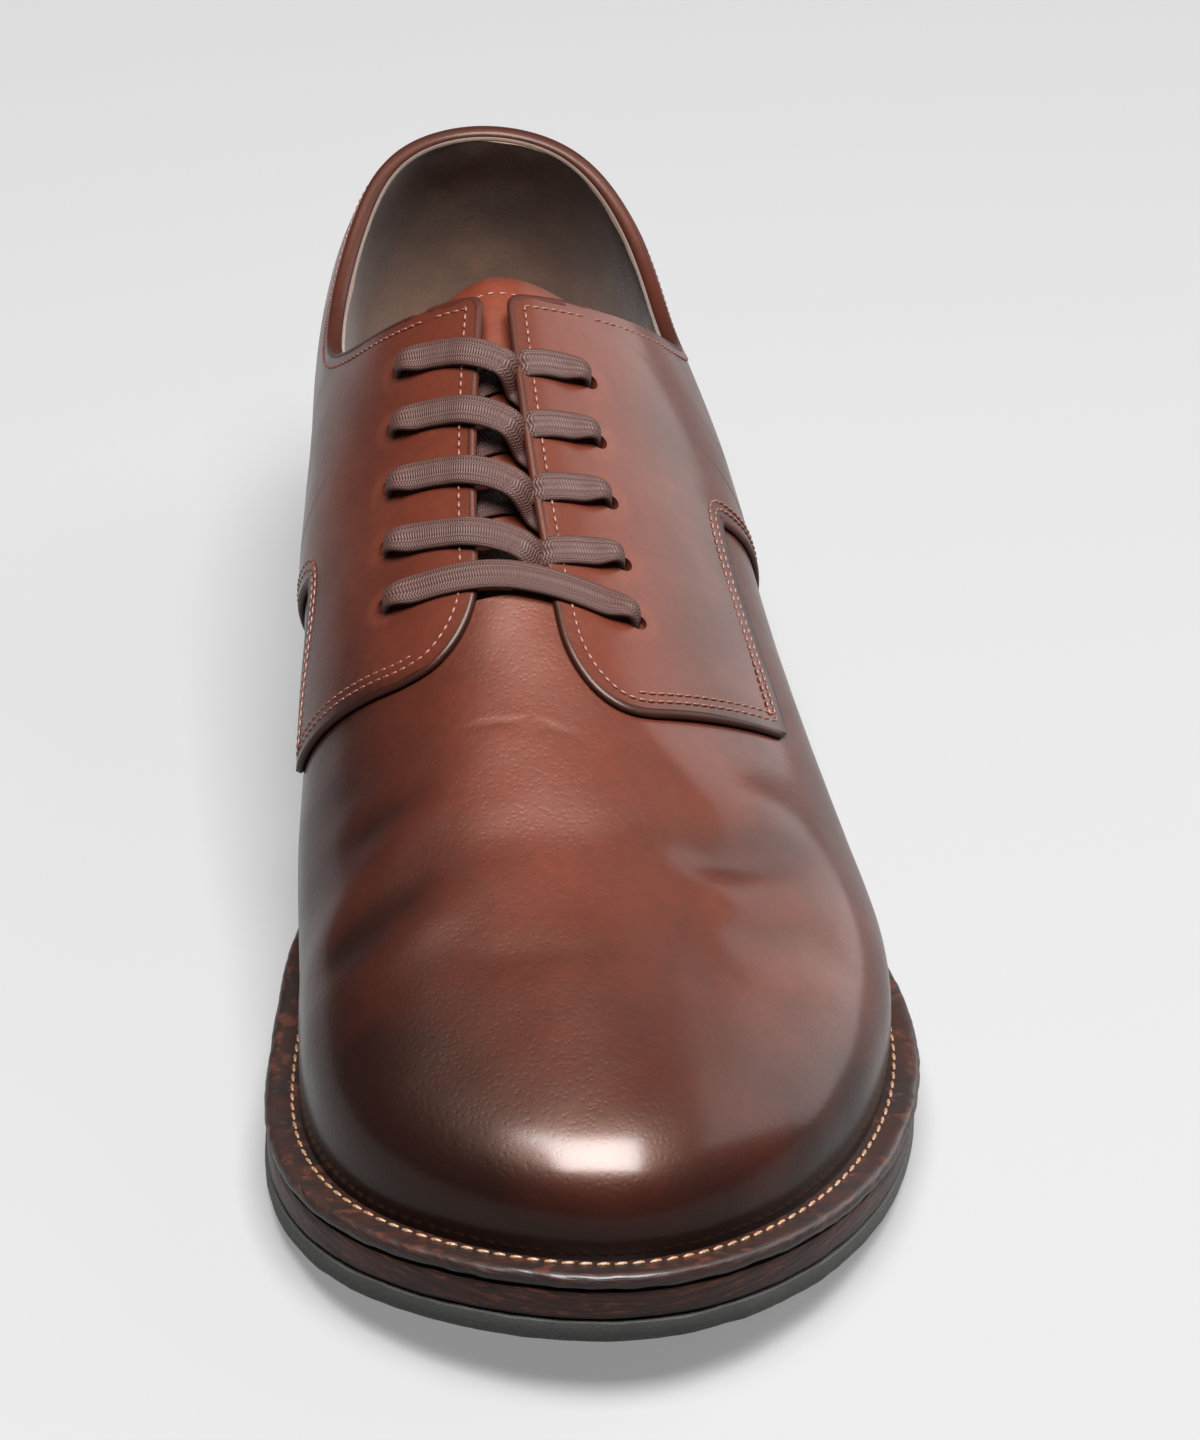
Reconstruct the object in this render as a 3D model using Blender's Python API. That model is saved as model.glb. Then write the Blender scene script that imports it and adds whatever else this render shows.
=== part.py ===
"""A plain-toe derby shoe for the left foot, built the way a shoemaker builds it.

The shape of the last is a smooth skin through a table of sections. Every piece of
the shoe is cut from that skin or from the line where it meets the sole.
Units are metres. The toe points along -Y, the outer side of the foot is +X, +Z is up.
"""

import math

import bmesh
import bpy
import numpy as np
from mathutils import Vector

# The last. The foot line is where the upper meets the sole.
FOOT_LENGTH = 0.290
BALL_WIDTH = 0.100
CROWN_HEIGHT = 0.118
INSTEP_SLOPE = 0.42

# The sole, from the ground up.
TOE_SPRING = 0.0105
SPRING_START = -0.066
ARCH_START = -0.022
BREAST_PLACE = 0.066
BREAST_HOLLOW = 0.005
HEEL_HEIGHT = 0.0175
TOP_PIECE_THICK = 0.0055
LIFT_COUNT = 3
LIFT_STEP = 0.0003
OUTSOLE_THICK = 0.0048
MIDSOLE_THICK = 0.0064
WELT_THICK = 0.0032
WELT_REACH = 0.0083
OUTSOLE_STEP = 0.0002
MIDSOLE_STEP = 0.0010
EDGE_ROUND = 0.0011
INSOLE_THICK = 0.0030
GAP = 0.0003

# Leather.
VAMP_THICK = 0.0015
QUARTER_STEP = 0.0014
QUARTER_BITE = 0.0011
QUARTER_FOLD = 0.0004
TONGUE_THICK = 0.0018
TONGUE_FRONT = -0.040
TONGUE_TOP = 0.0460
TONGUE_ROUND = 0.0060
TONGUE_HALF_FRONT = 0.020
TONGUE_HALF_TOP = 0.027
TONGUE_DIP_START = -0.030
TONGUE_DIP_RUN = 0.006

# The lacing, from the top row of eyelets to the front one.
FACING_TOP = 0.038
THROAT_END = -0.026
GAP_HALF_TOP = 0.0026
GAP_HALF_FRONT = 0.0070
GAP_GROWTH = 1.3
CORNER_SHARPNESS = 26
CORNER_TOP = 0.97
EYELET_ROWS = 5
EYELET_TOP = 0.0290
EYELET_FRONT = -0.0190
EYELET_HALF_TOP = 0.0165
EYELET_HALF_FRONT = 0.0215
EYELET_RADIUS = 0.0016
EYELET_SKEW = 0.27
PIN_LOW = -0.002
PIN_HIGH = 0.006
LACE_WIDTH = 0.0050
LACE_THICK = 0.0011
LACE_END = 0.0020
LACE_TUCK = 0.0032
LACE_ROOM = 0.0006

# The quarter's front end: shares of the foot length from the heel, and of the skin's rise.
NOTCH_REAR = 0.352
NOTCH_TOP = 0.382
NOTCH_RISE = 0.50
WING_CORNER = 0.604
WING_RISE_OUTER = 0.50
WING_RISE_INNER = 0.40
WING_FRONT = 0.652
FACING_TURN = -0.0255
FACING_TURN_WIDTH = 0.0150
BAND_TIP = 0.0015
WALL_TURN = 0.8
WALL_TURN_RUN = 0.3

# How finely the skin is cut into faces.
COLUMNS = 84
ROWS = 9
CAP_ROWS = 3
BAND_ROWS = 6
STEEP_COLUMNS = 7
HEEL_COLUMNS = 36
BREAST_COLUMNS = 8
LACE_STEPS = 15
BAR_STEPS = 13
TONGUE_ROWS = 15
TONGUE_COLUMNS = 11
PIN_SIDES = 12
COLUMN_ROOM = 0.45
COLUMN_LEAST = 0.02
SAMPLES = 161
STEP = 1e-3
SAME = 1e-6
SHARP_ANGLE = 35

# Profiles of the skin from foot line to crown: shares of the reach and of the rise.
PROFILES = {
    "heel": [(1, 0), (1, .12), (1, .28), (.955, .42), (.865, .55), (.73, .68), (.55, .85), (.31, .96), (0, 1)],
    "instep": [(1, 0), (1, .10), (1, .24), (.97, .40), (.88, .56), (.71, .71), (.48, .855), (.24, .955), (0, 1)],
    "joint": [(1, 0), (1, .12), (.985, .30), (.93, .47), (.82, .63), (.65, .78), (.42, .91), (.20, .98), (0, 1)],
    "toe": [(1, 0), (1, .14), (.975, .30), (.91, .41), (.80, .495), (.61, .60), (.40, .715), (.20, .85), (0, 1)],
}
PROFILE_ORDER = ("heel", "instep", "joint", "toe")
# How much of the wall's bulge is left at each point of a profile.
BULGE_FADE = (0, .42, .85, 1, .94, .76, .50, .23, 0)
LEVELS = len(BULGE_FADE)

# The last, one row for each section from the back of the heel to the toe. Foot and crown
# are shares of the foot length from the heel, crown_height is one of the crown's height
# and reach one of the welt's reach. The others are shares of the ball width, and shape
# counts along PROFILE_ORDER.
STATION_COLUMNS = (
    "foot", "outer", "inner", "crown", "lean", "crown_height", "shape", "outer_bulge", "inner_bulge", "reach")
STATIONS = [
    (0.000, 0.000, 0.000, 0.135, 0.000, 1.000, 0.0, 0.020, 0.020, 0.58),
    (0.016, 0.158, 0.158, 0.135, 0.000, 1.000, 0.0, 0.020, 0.020, 0.58),
    (0.057, 0.266, 0.262, 0.135, 0.000, 1.000, 0.0, 0.021, 0.020, 0.58),
    (0.125, 0.318, 0.308, 0.140, 0.000, 0.995, 0.0, 0.022, 0.022, 0.58),
    (0.215, 0.322, 0.292, 0.218, -0.025, 0.985, 0.2, 0.034, 0.070, 0.61),
    (0.315, 0.330, 0.262, 0.315, -0.060, 0.950, 0.5, 0.062, 0.130, 0.72),
    (0.405, 0.360, 0.262, 0.405, -0.080, 0.868, 1.0, 0.070, 0.163, 0.84),
    (0.490, 0.404, 0.300, 0.490, -0.088, 0.765, 1.4, 0.066, 0.146, 0.93),
    (0.575, 0.464, 0.366, 0.575, -0.085, 0.662, 1.8, 0.050, 0.104, 0.98),
    (0.655, 0.515, 0.432, 0.655, -0.078, 0.580, 2.0, 0.034, 0.064, 1.00),
    (0.735, 0.546, 0.474, 0.655, -0.078, 0.580, 2.23, 0.022, 0.034, 1.00),
    (0.810, 0.520, 0.500, 0.655, -0.078, 0.580, 2.5, 0.014, 0.020, 1.00),
    (0.880, 0.438, 0.476, 0.655, -0.078, 0.580, 2.7, 0.010, 0.013, 1.00),
    (0.940, 0.312, 0.374, 0.655, -0.078, 0.580, 2.9, 0.010, 0.010, 1.00),
    (0.983, 0.156, 0.202, 0.655, -0.078, 0.580, 3.0, 0.010, 0.010, 1.00),
    (1.000, -0.015, 0.015, 0.655, -0.078, 0.580, 3.0, 0.010, 0.010, 1.00),
]
TOE = len(STATIONS) - 1
AROUND = 2 * TOE
HEEL_FAN = 3
TOE_FAN = 9

# The collar seen from the side: share of the foot length from the heel, height above the ground.
COLLAR = [
    (0.000, 0.0930),
    (0.035, 0.0922),
    (0.085, 0.0860),
    (0.140, 0.0785),
    (0.200, 0.0748),
    (0.255, 0.0765),
    (0.300, 0.0835),
    (0.335, 0.0935),
    (0.356, 0.1010),
    (0.376, 0.1100),
]

# Colour, roughness and metallic value of each material.
FINISHES = {
    "upper_leather": ((0.150, 0.040, 0.020), 0.32, 0.0),
    "tongue_leather": ((0.120, 0.036, 0.020), 0.45, 0.0),
    "insole_leather": ((0.170, 0.055, 0.032), 0.50, 0.0),
    "welt_leather": ((0.090, 0.030, 0.020), 0.45, 0.0),
    "midsole_leather": ((0.130, 0.045, 0.025), 0.50, 0.0),
    "heel_leather": ((0.070, 0.028, 0.018), 0.50, 0.0),
    "sole_rubber": ((0.030, 0.030, 0.027), 0.75, 0.0),
    "lace_cotton": ((0.075, 0.035, 0.025), 0.60, 0.0),
}


def station(index, column):
    """One named value of the station table."""
    return STATIONS[index][STATION_COLUMNS.index(column)]


def place_of(share):
    """The Y of a share of the foot length, counted from the heel."""
    return FOOT_LENGTH * (0.5 - np.asarray(share, float))


def ease(value):
    """0 to 1 with level ends."""
    value = np.clip(value, 0.0, 1.0)
    return value * value * (3 - 2 * value)


def tread_height(place):
    """The height of the outsole's underside: toe spring, flat ball, arch and heel seat."""
    place = np.asarray(place, float)
    toe = FOOT_LENGTH / 2 + SPRING_START
    spring = TOE_SPRING * (np.clip(SPRING_START - place, 0, None) / toe) ** 2
    arch = HEEL_HEIGHT * ease((place - ARCH_START) / (BREAST_PLACE - ARCH_START))
    return spring + arch


def midsole_base(place):
    """The height of the midsole's underside."""
    return tread_height(place) + OUTSOLE_THICK + GAP


def foot_height(place):
    """The height at which upper, welt and insole stand on the midsole."""
    return midsole_base(place) + MIDSOLE_THICK + GAP


def spline(knots, values, places):
    """A smooth curve through a short table, straight at its ends."""
    knots, values = np.asarray(knots, float), np.asarray(values, float)
    steps = np.diff(knots)
    slopes = np.diff(values) / steps
    system = np.eye(len(knots))
    wanted = np.zeros(len(knots))
    for row in range(1, len(knots) - 1):
        system[row, row - 1:row + 2] = (steps[row - 1], 2 * (steps[row - 1] + steps[row]), steps[row])
        wanted[row] = 6 * (slopes[row] - slopes[row - 1])
    bend = np.linalg.solve(system, wanted)
    places = np.clip(np.asarray(places, float), knots[0], knots[-1])
    low = np.clip(np.searchsorted(knots, places, side="right") - 1, 0, len(steps) - 1)
    part = (places - knots[low]) / steps[low]
    rest = 1 - part
    bent = (rest**3 - rest) * bend[low] + (part**3 - part) * bend[low + 1]
    return rest * values[low] + part * values[low + 1] + bent * steps[low] ** 2 / 6


def around_weights(places):
    """Weights of the sections, which run round the shoe, for a smooth closed curve."""
    unit = np.eye(AROUND)
    before, after = np.roll(unit, 1, axis=0), np.roll(unit, -1, axis=0)
    bend = np.linalg.solve(before + 4 * unit + after, 6 * (before - 2 * unit + after))
    places = np.asarray(places, float) % AROUND
    low = np.floor(places).astype(int) % AROUND
    high = (low + 1) % AROUND
    part = (places - np.floor(places))[:, None]
    rest = 1 - part
    straight = rest * unit[low] + part * unit[high]
    return straight + ((rest**3 - rest) * bend[low] + (part**3 - part) * bend[high]) / 6


def rising_weights(rises):
    """Weights of a profile's points and of its end slope, for a smooth curve up the skin."""
    last = LEVELS - 1
    system = np.eye(LEVELS)
    wanted = np.zeros((LEVELS, LEVELS + 1))
    for level in range(1, last):
        system[level, level - 1:level + 2] = (1, 4, 1)
        wanted[level, level - 1:level + 2] = (6, -12, 6)
    system[last, last - 1:last + 1] = (1, 2)
    wanted[last, last - 1:] = (6, -6, 6)
    bend = np.linalg.solve(system, wanted)
    unit = np.eye(LEVELS, LEVELS + 1)
    places = np.clip(np.asarray(rises, float), 0, 1) * last
    low = np.minimum(np.floor(places).astype(int), last - 1)
    part = (places - low)[:, None]
    rest = 1 - part
    straight = rest * unit[low] + part * unit[low + 1]
    return straight + ((rest**3 - rest) * bend[low] + (part**3 - part) * bend[low + 1]) / 6


def profile_points(shape):
    """The profile at a place between two of the named profiles."""
    low = min(int(shape), len(PROFILE_ORDER) - 2)
    first = np.array(PROFILES[PROFILE_ORDER[low]])
    second = np.array(PROFILES[PROFILE_ORDER[low + 1]])
    return first + (second - first) * (shape - low)


def section_points(index, side):
    """The net points of one section on one side of the shoe, with the slope at the crown."""
    width = station(index, "outer" if side > 0 else "inner") * BALL_WIDTH
    foot_place = place_of(station(index, "foot"))
    foot = np.array([side * width, foot_place, foot_height(foot_place)])
    crown = np.array([
        station(index, "lean") * BALL_WIDTH,
        place_of(station(index, "crown")),
        station(index, "crown_height") * CROWN_HEIGHT,
    ])
    reach = np.linalg.norm(foot[:2] - crown[:2])
    outward = (foot[:2] - crown[:2]) / reach
    bulge = station(index, "outer_bulge" if side > 0 else "inner_bulge") * BALL_WIDTH
    points = []
    for (share, rise), fade in zip(profile_points(station(index, "shape")), BULGE_FADE):
        spot = crown[:2] + outward * (reach * share + bulge * fade)
        points.append([*spot, foot[2] + (crown[2] - foot[2]) * rise])
    step = crown[:2] - np.array(points[-2][:2])
    climb = INSTEP_SLOPE * max(0.0, -outward[1]) * np.linalg.norm(step)
    points.append([*step, climb])
    return points


def skin_net():
    """The net of the whole last: sections round the shoe, from the heel by the outer side."""
    outer = [section_points(index, 1) for index in range(TOE + 1)]
    inner = [section_points(index, -1) for index in range(TOE - 1, 0, -1)]
    return np.array(outer + inner)


NET = skin_net()
CROWN = LEVELS - 1


def bare_skin(around, rise):
    """Points of the last's skin."""
    weights = around_weights(around)
    spots = np.einsum("ki,kj,ijc->kc", weights, rising_weights(rise), NET)
    # In the fans at heel and toe every section ends in one crown point.
    folded = np.minimum(np.asarray(around, float) % AROUND, -np.asarray(around, float) % AROUND)
    pull = np.zeros_like(spots)
    crowns = weights @ NET[:, CROWN]
    for fan, inside in ((HEEL_FAN - 1, folded < HEEL_FAN - 1), (TOE_FAN, folded > TOE_FAN)):
        pull[inside] = NET[fan, CROWN] - crowns[inside]
    return spots + pull * ease(2 * np.asarray(rise, float) - 1)[:, None]


def skin_normal(around, rise):
    """Outward unit normals of the skin, level at the foot line."""
    rise = np.clip(rise, STEP, 1 - 8 * STEP)
    along = bare_skin(around + STEP, rise) - bare_skin(around - STEP, rise)
    upward = bare_skin(around, rise + STEP) - bare_skin(around, rise - STEP)
    normal = np.cross(upward, along)
    normal[:, 2] *= ease(rise * 10)
    return normal / np.linalg.norm(normal, axis=1, keepdims=True)


def skin(around, rise, lift=0.0):
    """Points lifted off the skin by a distance along its normal.

    around counts sections, rise runs from 0 at the foot line to 1 at the crown.
    """
    around, rise, lift = np.broadcast_arrays(around, rise, lift)
    shape = around.shape
    around, rise, lift = (np.asarray(each, float).ravel() for each in (around, rise, lift))
    spots = bare_skin(around, rise) + skin_normal(around, rise) * lift[:, None]
    spots[:, 2] = np.maximum(spots[:, 2], foot_height(spots[:, 1]))
    spots[rise == 0, 2] = foot_height(spots[rise == 0, 1])
    return spots.reshape(*shape, 3)


def rise_where(around, passed, lift=0.0):
    """The rise, for each place around, from which on a measure of the points stays above zero."""
    around = np.asarray(around, float)
    rises = np.linspace(0, 1, SAMPLES)
    points = skin(around[:, None], rises, np.broadcast_to(lift, around.shape)[:, None])
    values = passed(points)
    values[:, -1] = np.maximum(values[:, -1], SAME)
    high = np.clip(SAMPLES - np.argmax(values[:, ::-1] < 0, axis=1), 1, SAMPLES - 1)
    row = np.arange(len(around))
    below, above = values[row, high - 1], values[row, high]
    part = np.clip(-below / (above - below), 0, 1)
    return rises[high - 1] + part * (rises[high] - rises[high - 1])


def rise_at_height(around, height, lift=0.0):
    """The rise at which the skin, or what is lifted off it, is a height above the midsole."""
    return rise_where(around, lambda points: points[..., 2] - foot_height(points[..., 1]) - height, lift)


def rise_at_reach(around, reach):
    """The rise at which the skin is a plan distance from its crown, whose reach may follow Y."""
    def nearer(points):
        distance = np.linalg.norm(points[..., :2] - points[:, -1:, :2], axis=-1)
        wanted = reach(points[..., 1]) if callable(reach) else np.asarray(reach)[:, None]
        return wanted - distance
    return rise_where(around, nearer)


def around_at(place):
    """The section number, on the outer side, at a Y between the two fans."""
    arounds = np.linspace(HEEL_FAN, TOE_FAN, SAMPLES)
    crowns = bare_skin(arounds, np.ones(SAMPLES))
    return np.interp(-np.asarray(place, float), -crowns[:, 1], arounds)


def over(place, reach, lift):
    """Points over the instep at a Y and a signed plan distance from the crown line."""
    place, reach, lift = np.broadcast_arrays(place, reach, lift)
    shape = place.shape
    place, reach, lift = (np.asarray(each, float).ravel() for each in (place, reach, lift))
    around = around_at(place)
    around = np.where(reach < 0, AROUND - around, around)
    return skin(around, rise_at_reach(around, np.abs(reach)), lift).reshape(*shape, 3)


def rim(around, reach):
    """Plan points a reach outside the foot line."""
    around = np.asarray(around, float)
    foot = np.zeros(len(around))
    spots = bare_skin(around, foot)[:, :2]
    along = (bare_skin(around + STEP, foot) - bare_skin(around - STEP, foot))[:, :2]
    along /= np.linalg.norm(along, axis=1, keepdims=True)
    outward = np.stack([-along[:, 1], along[:, 0]], axis=1)
    return spots + outward * np.broadcast_to(reach, len(spots))[:, None]


def sole_reach(around):
    """How far the welt reaches outside the foot line."""
    sections = list(range(TOE + 1)) + list(range(TOE - 1, 0, -1))
    shares = np.array([station(index, "reach") for index in sections])
    return around_weights(around) @ shares * WELT_REACH


def gap_half(place):
    """Half the width of the gap between the facings."""
    part = (FACING_TOP - place) / (FACING_TOP - EYELET_FRONT)
    return GAP_HALF_TOP + (GAP_HALF_FRONT - GAP_HALF_TOP) * np.clip(part, 0, GAP_GROWTH)


def facing_reach(place):
    """The reach of a facing's inner edge, which turns outward in an arc at its front end."""
    front = float(place_of(WING_FRONT))
    part = np.clip((FACING_TURN - place) / (FACING_TURN - front), 0, 1)
    return gap_half(place) + FACING_TURN_WIDTH * (1 - np.sqrt(1 - part**2))


def top_rise(around, edge=gap_half, fold=0.0):
    """The rise of the collar and of the facings' edges, raised by a fold, with a round corner."""
    knots, heights = zip(*COLLAR)

    def above_collar(points):
        return points[..., 2] - fold - spline(knots, heights, 0.5 - points[..., 1] / FOOT_LENGTH)
    collar = rise_where(around, above_collar)
    collar = collar + ease((collar - CORNER_TOP) / (1 - CORNER_TOP))
    gap = rise_at_reach(around, lambda place: edge(place) - fold)
    apart = np.abs(collar - gap)
    return np.minimum(collar, gap) - np.log1p(np.exp(-CORNER_SHARPNESS * apart)) / CORNER_SHARPNESS


def quarter_marks():
    """Where the quarter's lower edge turns: notch rear, notch top, wing corner and front end."""
    return [float(around_at(place_of(share))) for share in (NOTCH_REAR, NOTCH_TOP, WING_CORNER, WING_FRONT)]


def side_columns():
    """Places on the outer side, even but for steep stretches of the quarter's and collar's edges."""
    rear, top, corner, front = quarter_marks()
    edge, facing = float(around_at(place_of(COLLAR[-2][0]))), float(around_at(FACING_TOP))
    stretches = ((rear, top), (edge, facing), (corner, front))
    marks = {round(mark, 4) for ends in stretches for mark in np.linspace(*ends, STEEP_COLUMNS)}
    marks.add(round(float(around_at(THROAT_END)), 4))
    spacing = AROUND / COLUMNS
    even = [place for place in np.arange(0, TOE, spacing)
            if all(abs(place - mark) > COLUMN_ROOM * spacing for mark in marks)]
    places = sorted({*even, *marks, TOE})
    following = places[1:] + [AROUND]
    return np.array([place for place, after in zip(places, following) if after - place > COLUMN_LEAST])


def all_columns():
    """Places all the way round, from the heel by the outer side."""
    side = side_columns()
    return np.concatenate([side, AROUND - side[-2:0:-1]])


def rows_between(columns, low, high, rows):
    """Rises of the rows between two edges, the second at the welt's top or a little way up."""
    welt = rise_at_height(columns, WELT_THICK, VAMP_THICK + QUARTER_STEP)
    first = np.maximum(welt, low + (high - low) / rows / 2)
    upper_rows = first[:, None] + (high - first)[:, None] * np.linspace(0, 1, rows)
    return np.concatenate([low[:, None], upper_rows], axis=1)


def make_object(name, points, faces, material):
    """A mesh object from points and faces, its doubles welded and its faces pointing out."""
    mesh = bpy.data.meshes.new(name)
    mesh.from_pydata([tuple(point) for point in points], [], faces)
    shape = bmesh.new()
    shape.from_mesh(mesh)
    bmesh.ops.remove_doubles(shape, verts=shape.verts[:], dist=SAME)
    loose = [vertex for vertex in shape.verts if not vertex.link_faces]
    bmesh.ops.delete(shape, geom=loose, context="VERTS")
    bmesh.ops.recalc_face_normals(shape, faces=shape.faces[:])
    shape.to_mesh(mesh)
    shape.free()
    mesh.shade_smooth()
    mesh.set_sharp_from_angle(angle=math.radians(SHARP_ANGLE))
    mesh.materials.append(material)
    return bpy.data.objects.new(name, mesh)


def strips(first, second, closed=False):
    """Faces between two rows of point numbers."""
    count = len(first)
    turns = count if closed else count - 1
    return [
        (first[i], first[(i + 1) % count], second[(i + 1) % count], second[i]) for i in range(turns)]


def sheet_solid(name, outer, inner, material):
    """A closed body between two grids of points of the same size."""
    rows, columns = outer.shape[:2]
    top = np.arange(rows * columns).reshape(rows, columns)
    base = top + rows * columns
    faces = []
    for row in range(rows - 1):
        faces += strips(top[row], top[row + 1])
        faces += strips(base[row + 1], base[row])
    for edge in ((top[0], base[0]), (base[-1], top[-1]), (base[:, 0], top[:, 0]), (top[:, -1], base[:, -1])):
        faces += strips(*edge)
    points = np.concatenate([outer.reshape(-1, 3), inner.reshape(-1, 3)])
    return make_object(name, points, [tuple(map(int, face)) for face in faces], material)


def ring_faces(loops, closed):
    """Faces between closed loops of points, the last joined to the first if closed."""
    count = len(loops[0])
    numbers = np.arange(len(loops) * count).reshape(len(loops), count)
    faces = []
    for row in range(len(loops) if closed else len(loops) - 1):
        faces += strips(numbers[row], numbers[(row + 1) % len(loops)], closed=True)
    return numbers, faces


def plate_solid(name, loops, material):
    """A body of stacked loops, capped by a ladder of faces between outer and inner side."""
    numbers, faces = ring_faces(loops, closed=False)
    count = len(loops[0])
    for row in (numbers[0], numbers[-1]):
        for rung in range(count // 2):
            corners = [row[rung], row[rung + 1], row[count - rung - 1], row[-rung % count]]
            faces.append(tuple(dict.fromkeys(corners)))
    points = np.concatenate(loops)
    return make_object(name, points, [tuple(map(int, face)) for face in faces], material)


def at_height(plan, height):
    """Plan points at a height that follows their Y."""
    return np.column_stack([plan, height(plan[:, 1])])


def sole_plate(name, step, base, thick, material):
    """A full-length layer of the sole with rounded edges, stepped in from the welt's edge."""
    around = all_columns()
    reach = sole_reach(around) - step
    profile = ((EDGE_ROUND, 0), (0, EDGE_ROUND), (0, thick - EDGE_ROUND), (EDGE_ROUND, thick))
    loops = []
    for inset, rise in profile:
        loops.append(at_height(rim(around, reach - inset), lambda place: base(place) + rise))
    return plate_solid(name, loops, material)


def heel_outline(step):
    """The plan of a heel lift: round the back, and hollow across its breast."""
    half = np.linspace(0, HEEL_FAN + 2, SAMPLES)
    ends = []
    for side in (-1, 1):
        plan = rim(side * half, sole_reach(side * half) - step)
        ends.append(side * np.interp(-BREAST_PLACE, -plan[:, 1], half))
    places = np.linspace(*ends, HEEL_COLUMNS)
    back = rim(places, sole_reach(places) - step)
    across = np.linspace(back[-1, 0], back[0, 0], BREAST_COLUMNS + 1)[1:-1]
    middle, reach = (back[0, 0] + back[-1, 0]) / 2, abs(back[0, 0] - back[-1, 0]) / 2
    hollow = BREAST_HOLLOW * (1 - ((across - middle) / reach) ** 2)
    return np.concatenate([back, np.column_stack([across, BREAST_PLACE + hollow])])


def heel_lift(name, base, thick, step, material):
    """One flat layer of the heel."""
    outline = heel_outline(step)
    count = len(outline)
    low = np.column_stack([outline, np.full(count, base)])
    high = np.column_stack([outline, np.full(count, base + thick)])
    numbers, faces = ring_faces([low, high], closed=False)
    faces += [tuple(numbers[0]), tuple(numbers[1])]
    return make_object(name, np.concatenate([low, high]), [tuple(map(int, face)) for face in faces], material)


def wall_lift(around):
    """The thickness of the wall just above the foot line, with the quarter where it reaches down."""
    folded = np.minimum(np.asarray(around) % AROUND, -np.asarray(around) % AROUND)
    return VAMP_THICK + QUARTER_STEP * ease((quarter_marks()[0] + WALL_TURN - folded) / WALL_TURN_RUN)


def welt_centre():
    """The middle of the welt's outline, which is the shoe's widest and longest."""
    around = all_columns()
    outline = rim(around, sole_reach(around))
    return (outline.min(axis=0) + outline.max(axis=0)) / 2


def make_welt(material):
    """The strip round the foot of the upper: its inner face follows the wall."""
    around = all_columns()
    reach = sole_reach(around)
    lift = wall_lift(around) + GAP
    bottom = skin(around, 0.0, lift)
    top = skin(around, rise_at_height(around, WELT_THICK, lift), lift)
    top[:, 2] = foot_height(top[:, 1]) + WELT_THICK
    edge = at_height(rim(around, reach - EDGE_ROUND / 2), lambda place: foot_height(place) + WELT_THICK)
    side = at_height(rim(around, reach), lambda place: foot_height(place) + WELT_THICK - EDGE_ROUND / 2)
    under = at_height(rim(around, reach), foot_height)
    loops = [bottom, top, edge, side, under]
    _, faces = ring_faces(loops, closed=True)
    return make_object("welt", np.concatenate(loops), [tuple(map(int, face)) for face in faces], material)


def make_insole(material):
    """The flat leather that the foot stands on, inside the upper."""
    around = all_columns()
    loops = []
    for rise in (0, INSOLE_THICK):
        loops.append(at_height(rim(around, -GAP), lambda place: foot_height(place) + rise))
    return plate_solid("insole", loops, material)


def make_shell(material):
    """The vamp and the wall under the quarters: one hollow skin, open at collar, throat and foot."""
    end = round(float(around_at(THROAT_END)), 4)
    columns = all_columns()
    count = len(columns)
    split = top_rise(columns)
    main = rows_between(columns, np.zeros(count), split, ROWS)
    cap = split[:, None] + (1 - split[:, None]) * np.linspace(0, 1, CAP_ROWS + 1)[1:]
    rises = np.concatenate([main, cap], axis=1)
    height = rises.shape[1]
    folded = np.minimum(columns, AROUND - columns)
    front = folded > end - SAME
    sheets = [skin(columns[:, None], rises, lift) for lift in (VAMP_THICK, 0.0)]
    crown_place = np.minimum(folded, TOE_FAN).round(6)
    for sheet in sheets:
        for place in set(crown_place):
            sheet[crown_place == place, -1] = sheet[crown_place == place, -1].mean(axis=0)
    outer = np.arange(count * height).reshape(count, height)
    inner = outer + count * height
    faces = []
    for column in range(count):
        beside = (column + 1) % count
        closed = front[column] and front[beside]
        top = height if closed else ROWS + 1
        faces += strips(outer[column, :top], outer[beside, :top])
        faces += strips(inner[beside, :top], inner[column, :top])
        edges = [0] if closed else [0, ROWS]
        for row in edges:
            faces.append((outer[column, row], outer[beside, row], inner[beside, row], inner[column, row]))
    for column in np.flatnonzero(np.abs(folded - end) < SAME):
        faces += strips(outer[column, ROWS:], inner[column, ROWS:])
    points = np.concatenate([sheet.reshape(-1, 3) for sheet in sheets])
    return make_object("upper", points, [tuple(map(int, face)) for face in faces], material)


def quarter_floor(columns):
    """The lower edge of the quarters: down to the sole at the rear, a notch, then the wing."""
    rear, top, corner, front = quarter_marks()
    folded = np.abs(columns)
    wing = np.where(columns > 0, WING_RISE_OUTER, WING_RISE_INNER)
    up = NOTCH_RISE * np.sqrt(np.clip((folded - rear) / (top - rear), 0, 1))
    down = (NOTCH_RISE - wing) * ease((folded - top) / (corner - top))
    tip = rise_at_reach(columns, lambda place: facing_reach(place_of(WING_FRONT)) + BAND_TIP + 0 * place)
    over_front = (tip - wing) * np.clip((folded - corner) / (front - corner), 0, 1)
    return np.maximum(up - down + over_front, rise_at_height(columns, GAP))


def make_quarters(material):
    """The overlay of both quarters as one band round the heel, biting into the shell."""
    front = quarter_marks()[-1]
    side = side_columns()
    side = side[side < front + STEP]
    columns = np.concatenate([-side[:0:-1], side])
    low = quarter_floor(columns)
    high = top_rise(columns, facing_reach, QUARTER_FOLD)
    rises = rows_between(columns, low, high, BAND_ROWS)
    outer = skin(columns[:, None], rises, VAMP_THICK + QUARTER_STEP)
    inner = skin(columns[:, None], rises, VAMP_THICK - QUARTER_BITE)
    return sheet_solid("quarter_band", outer, inner, material)


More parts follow.
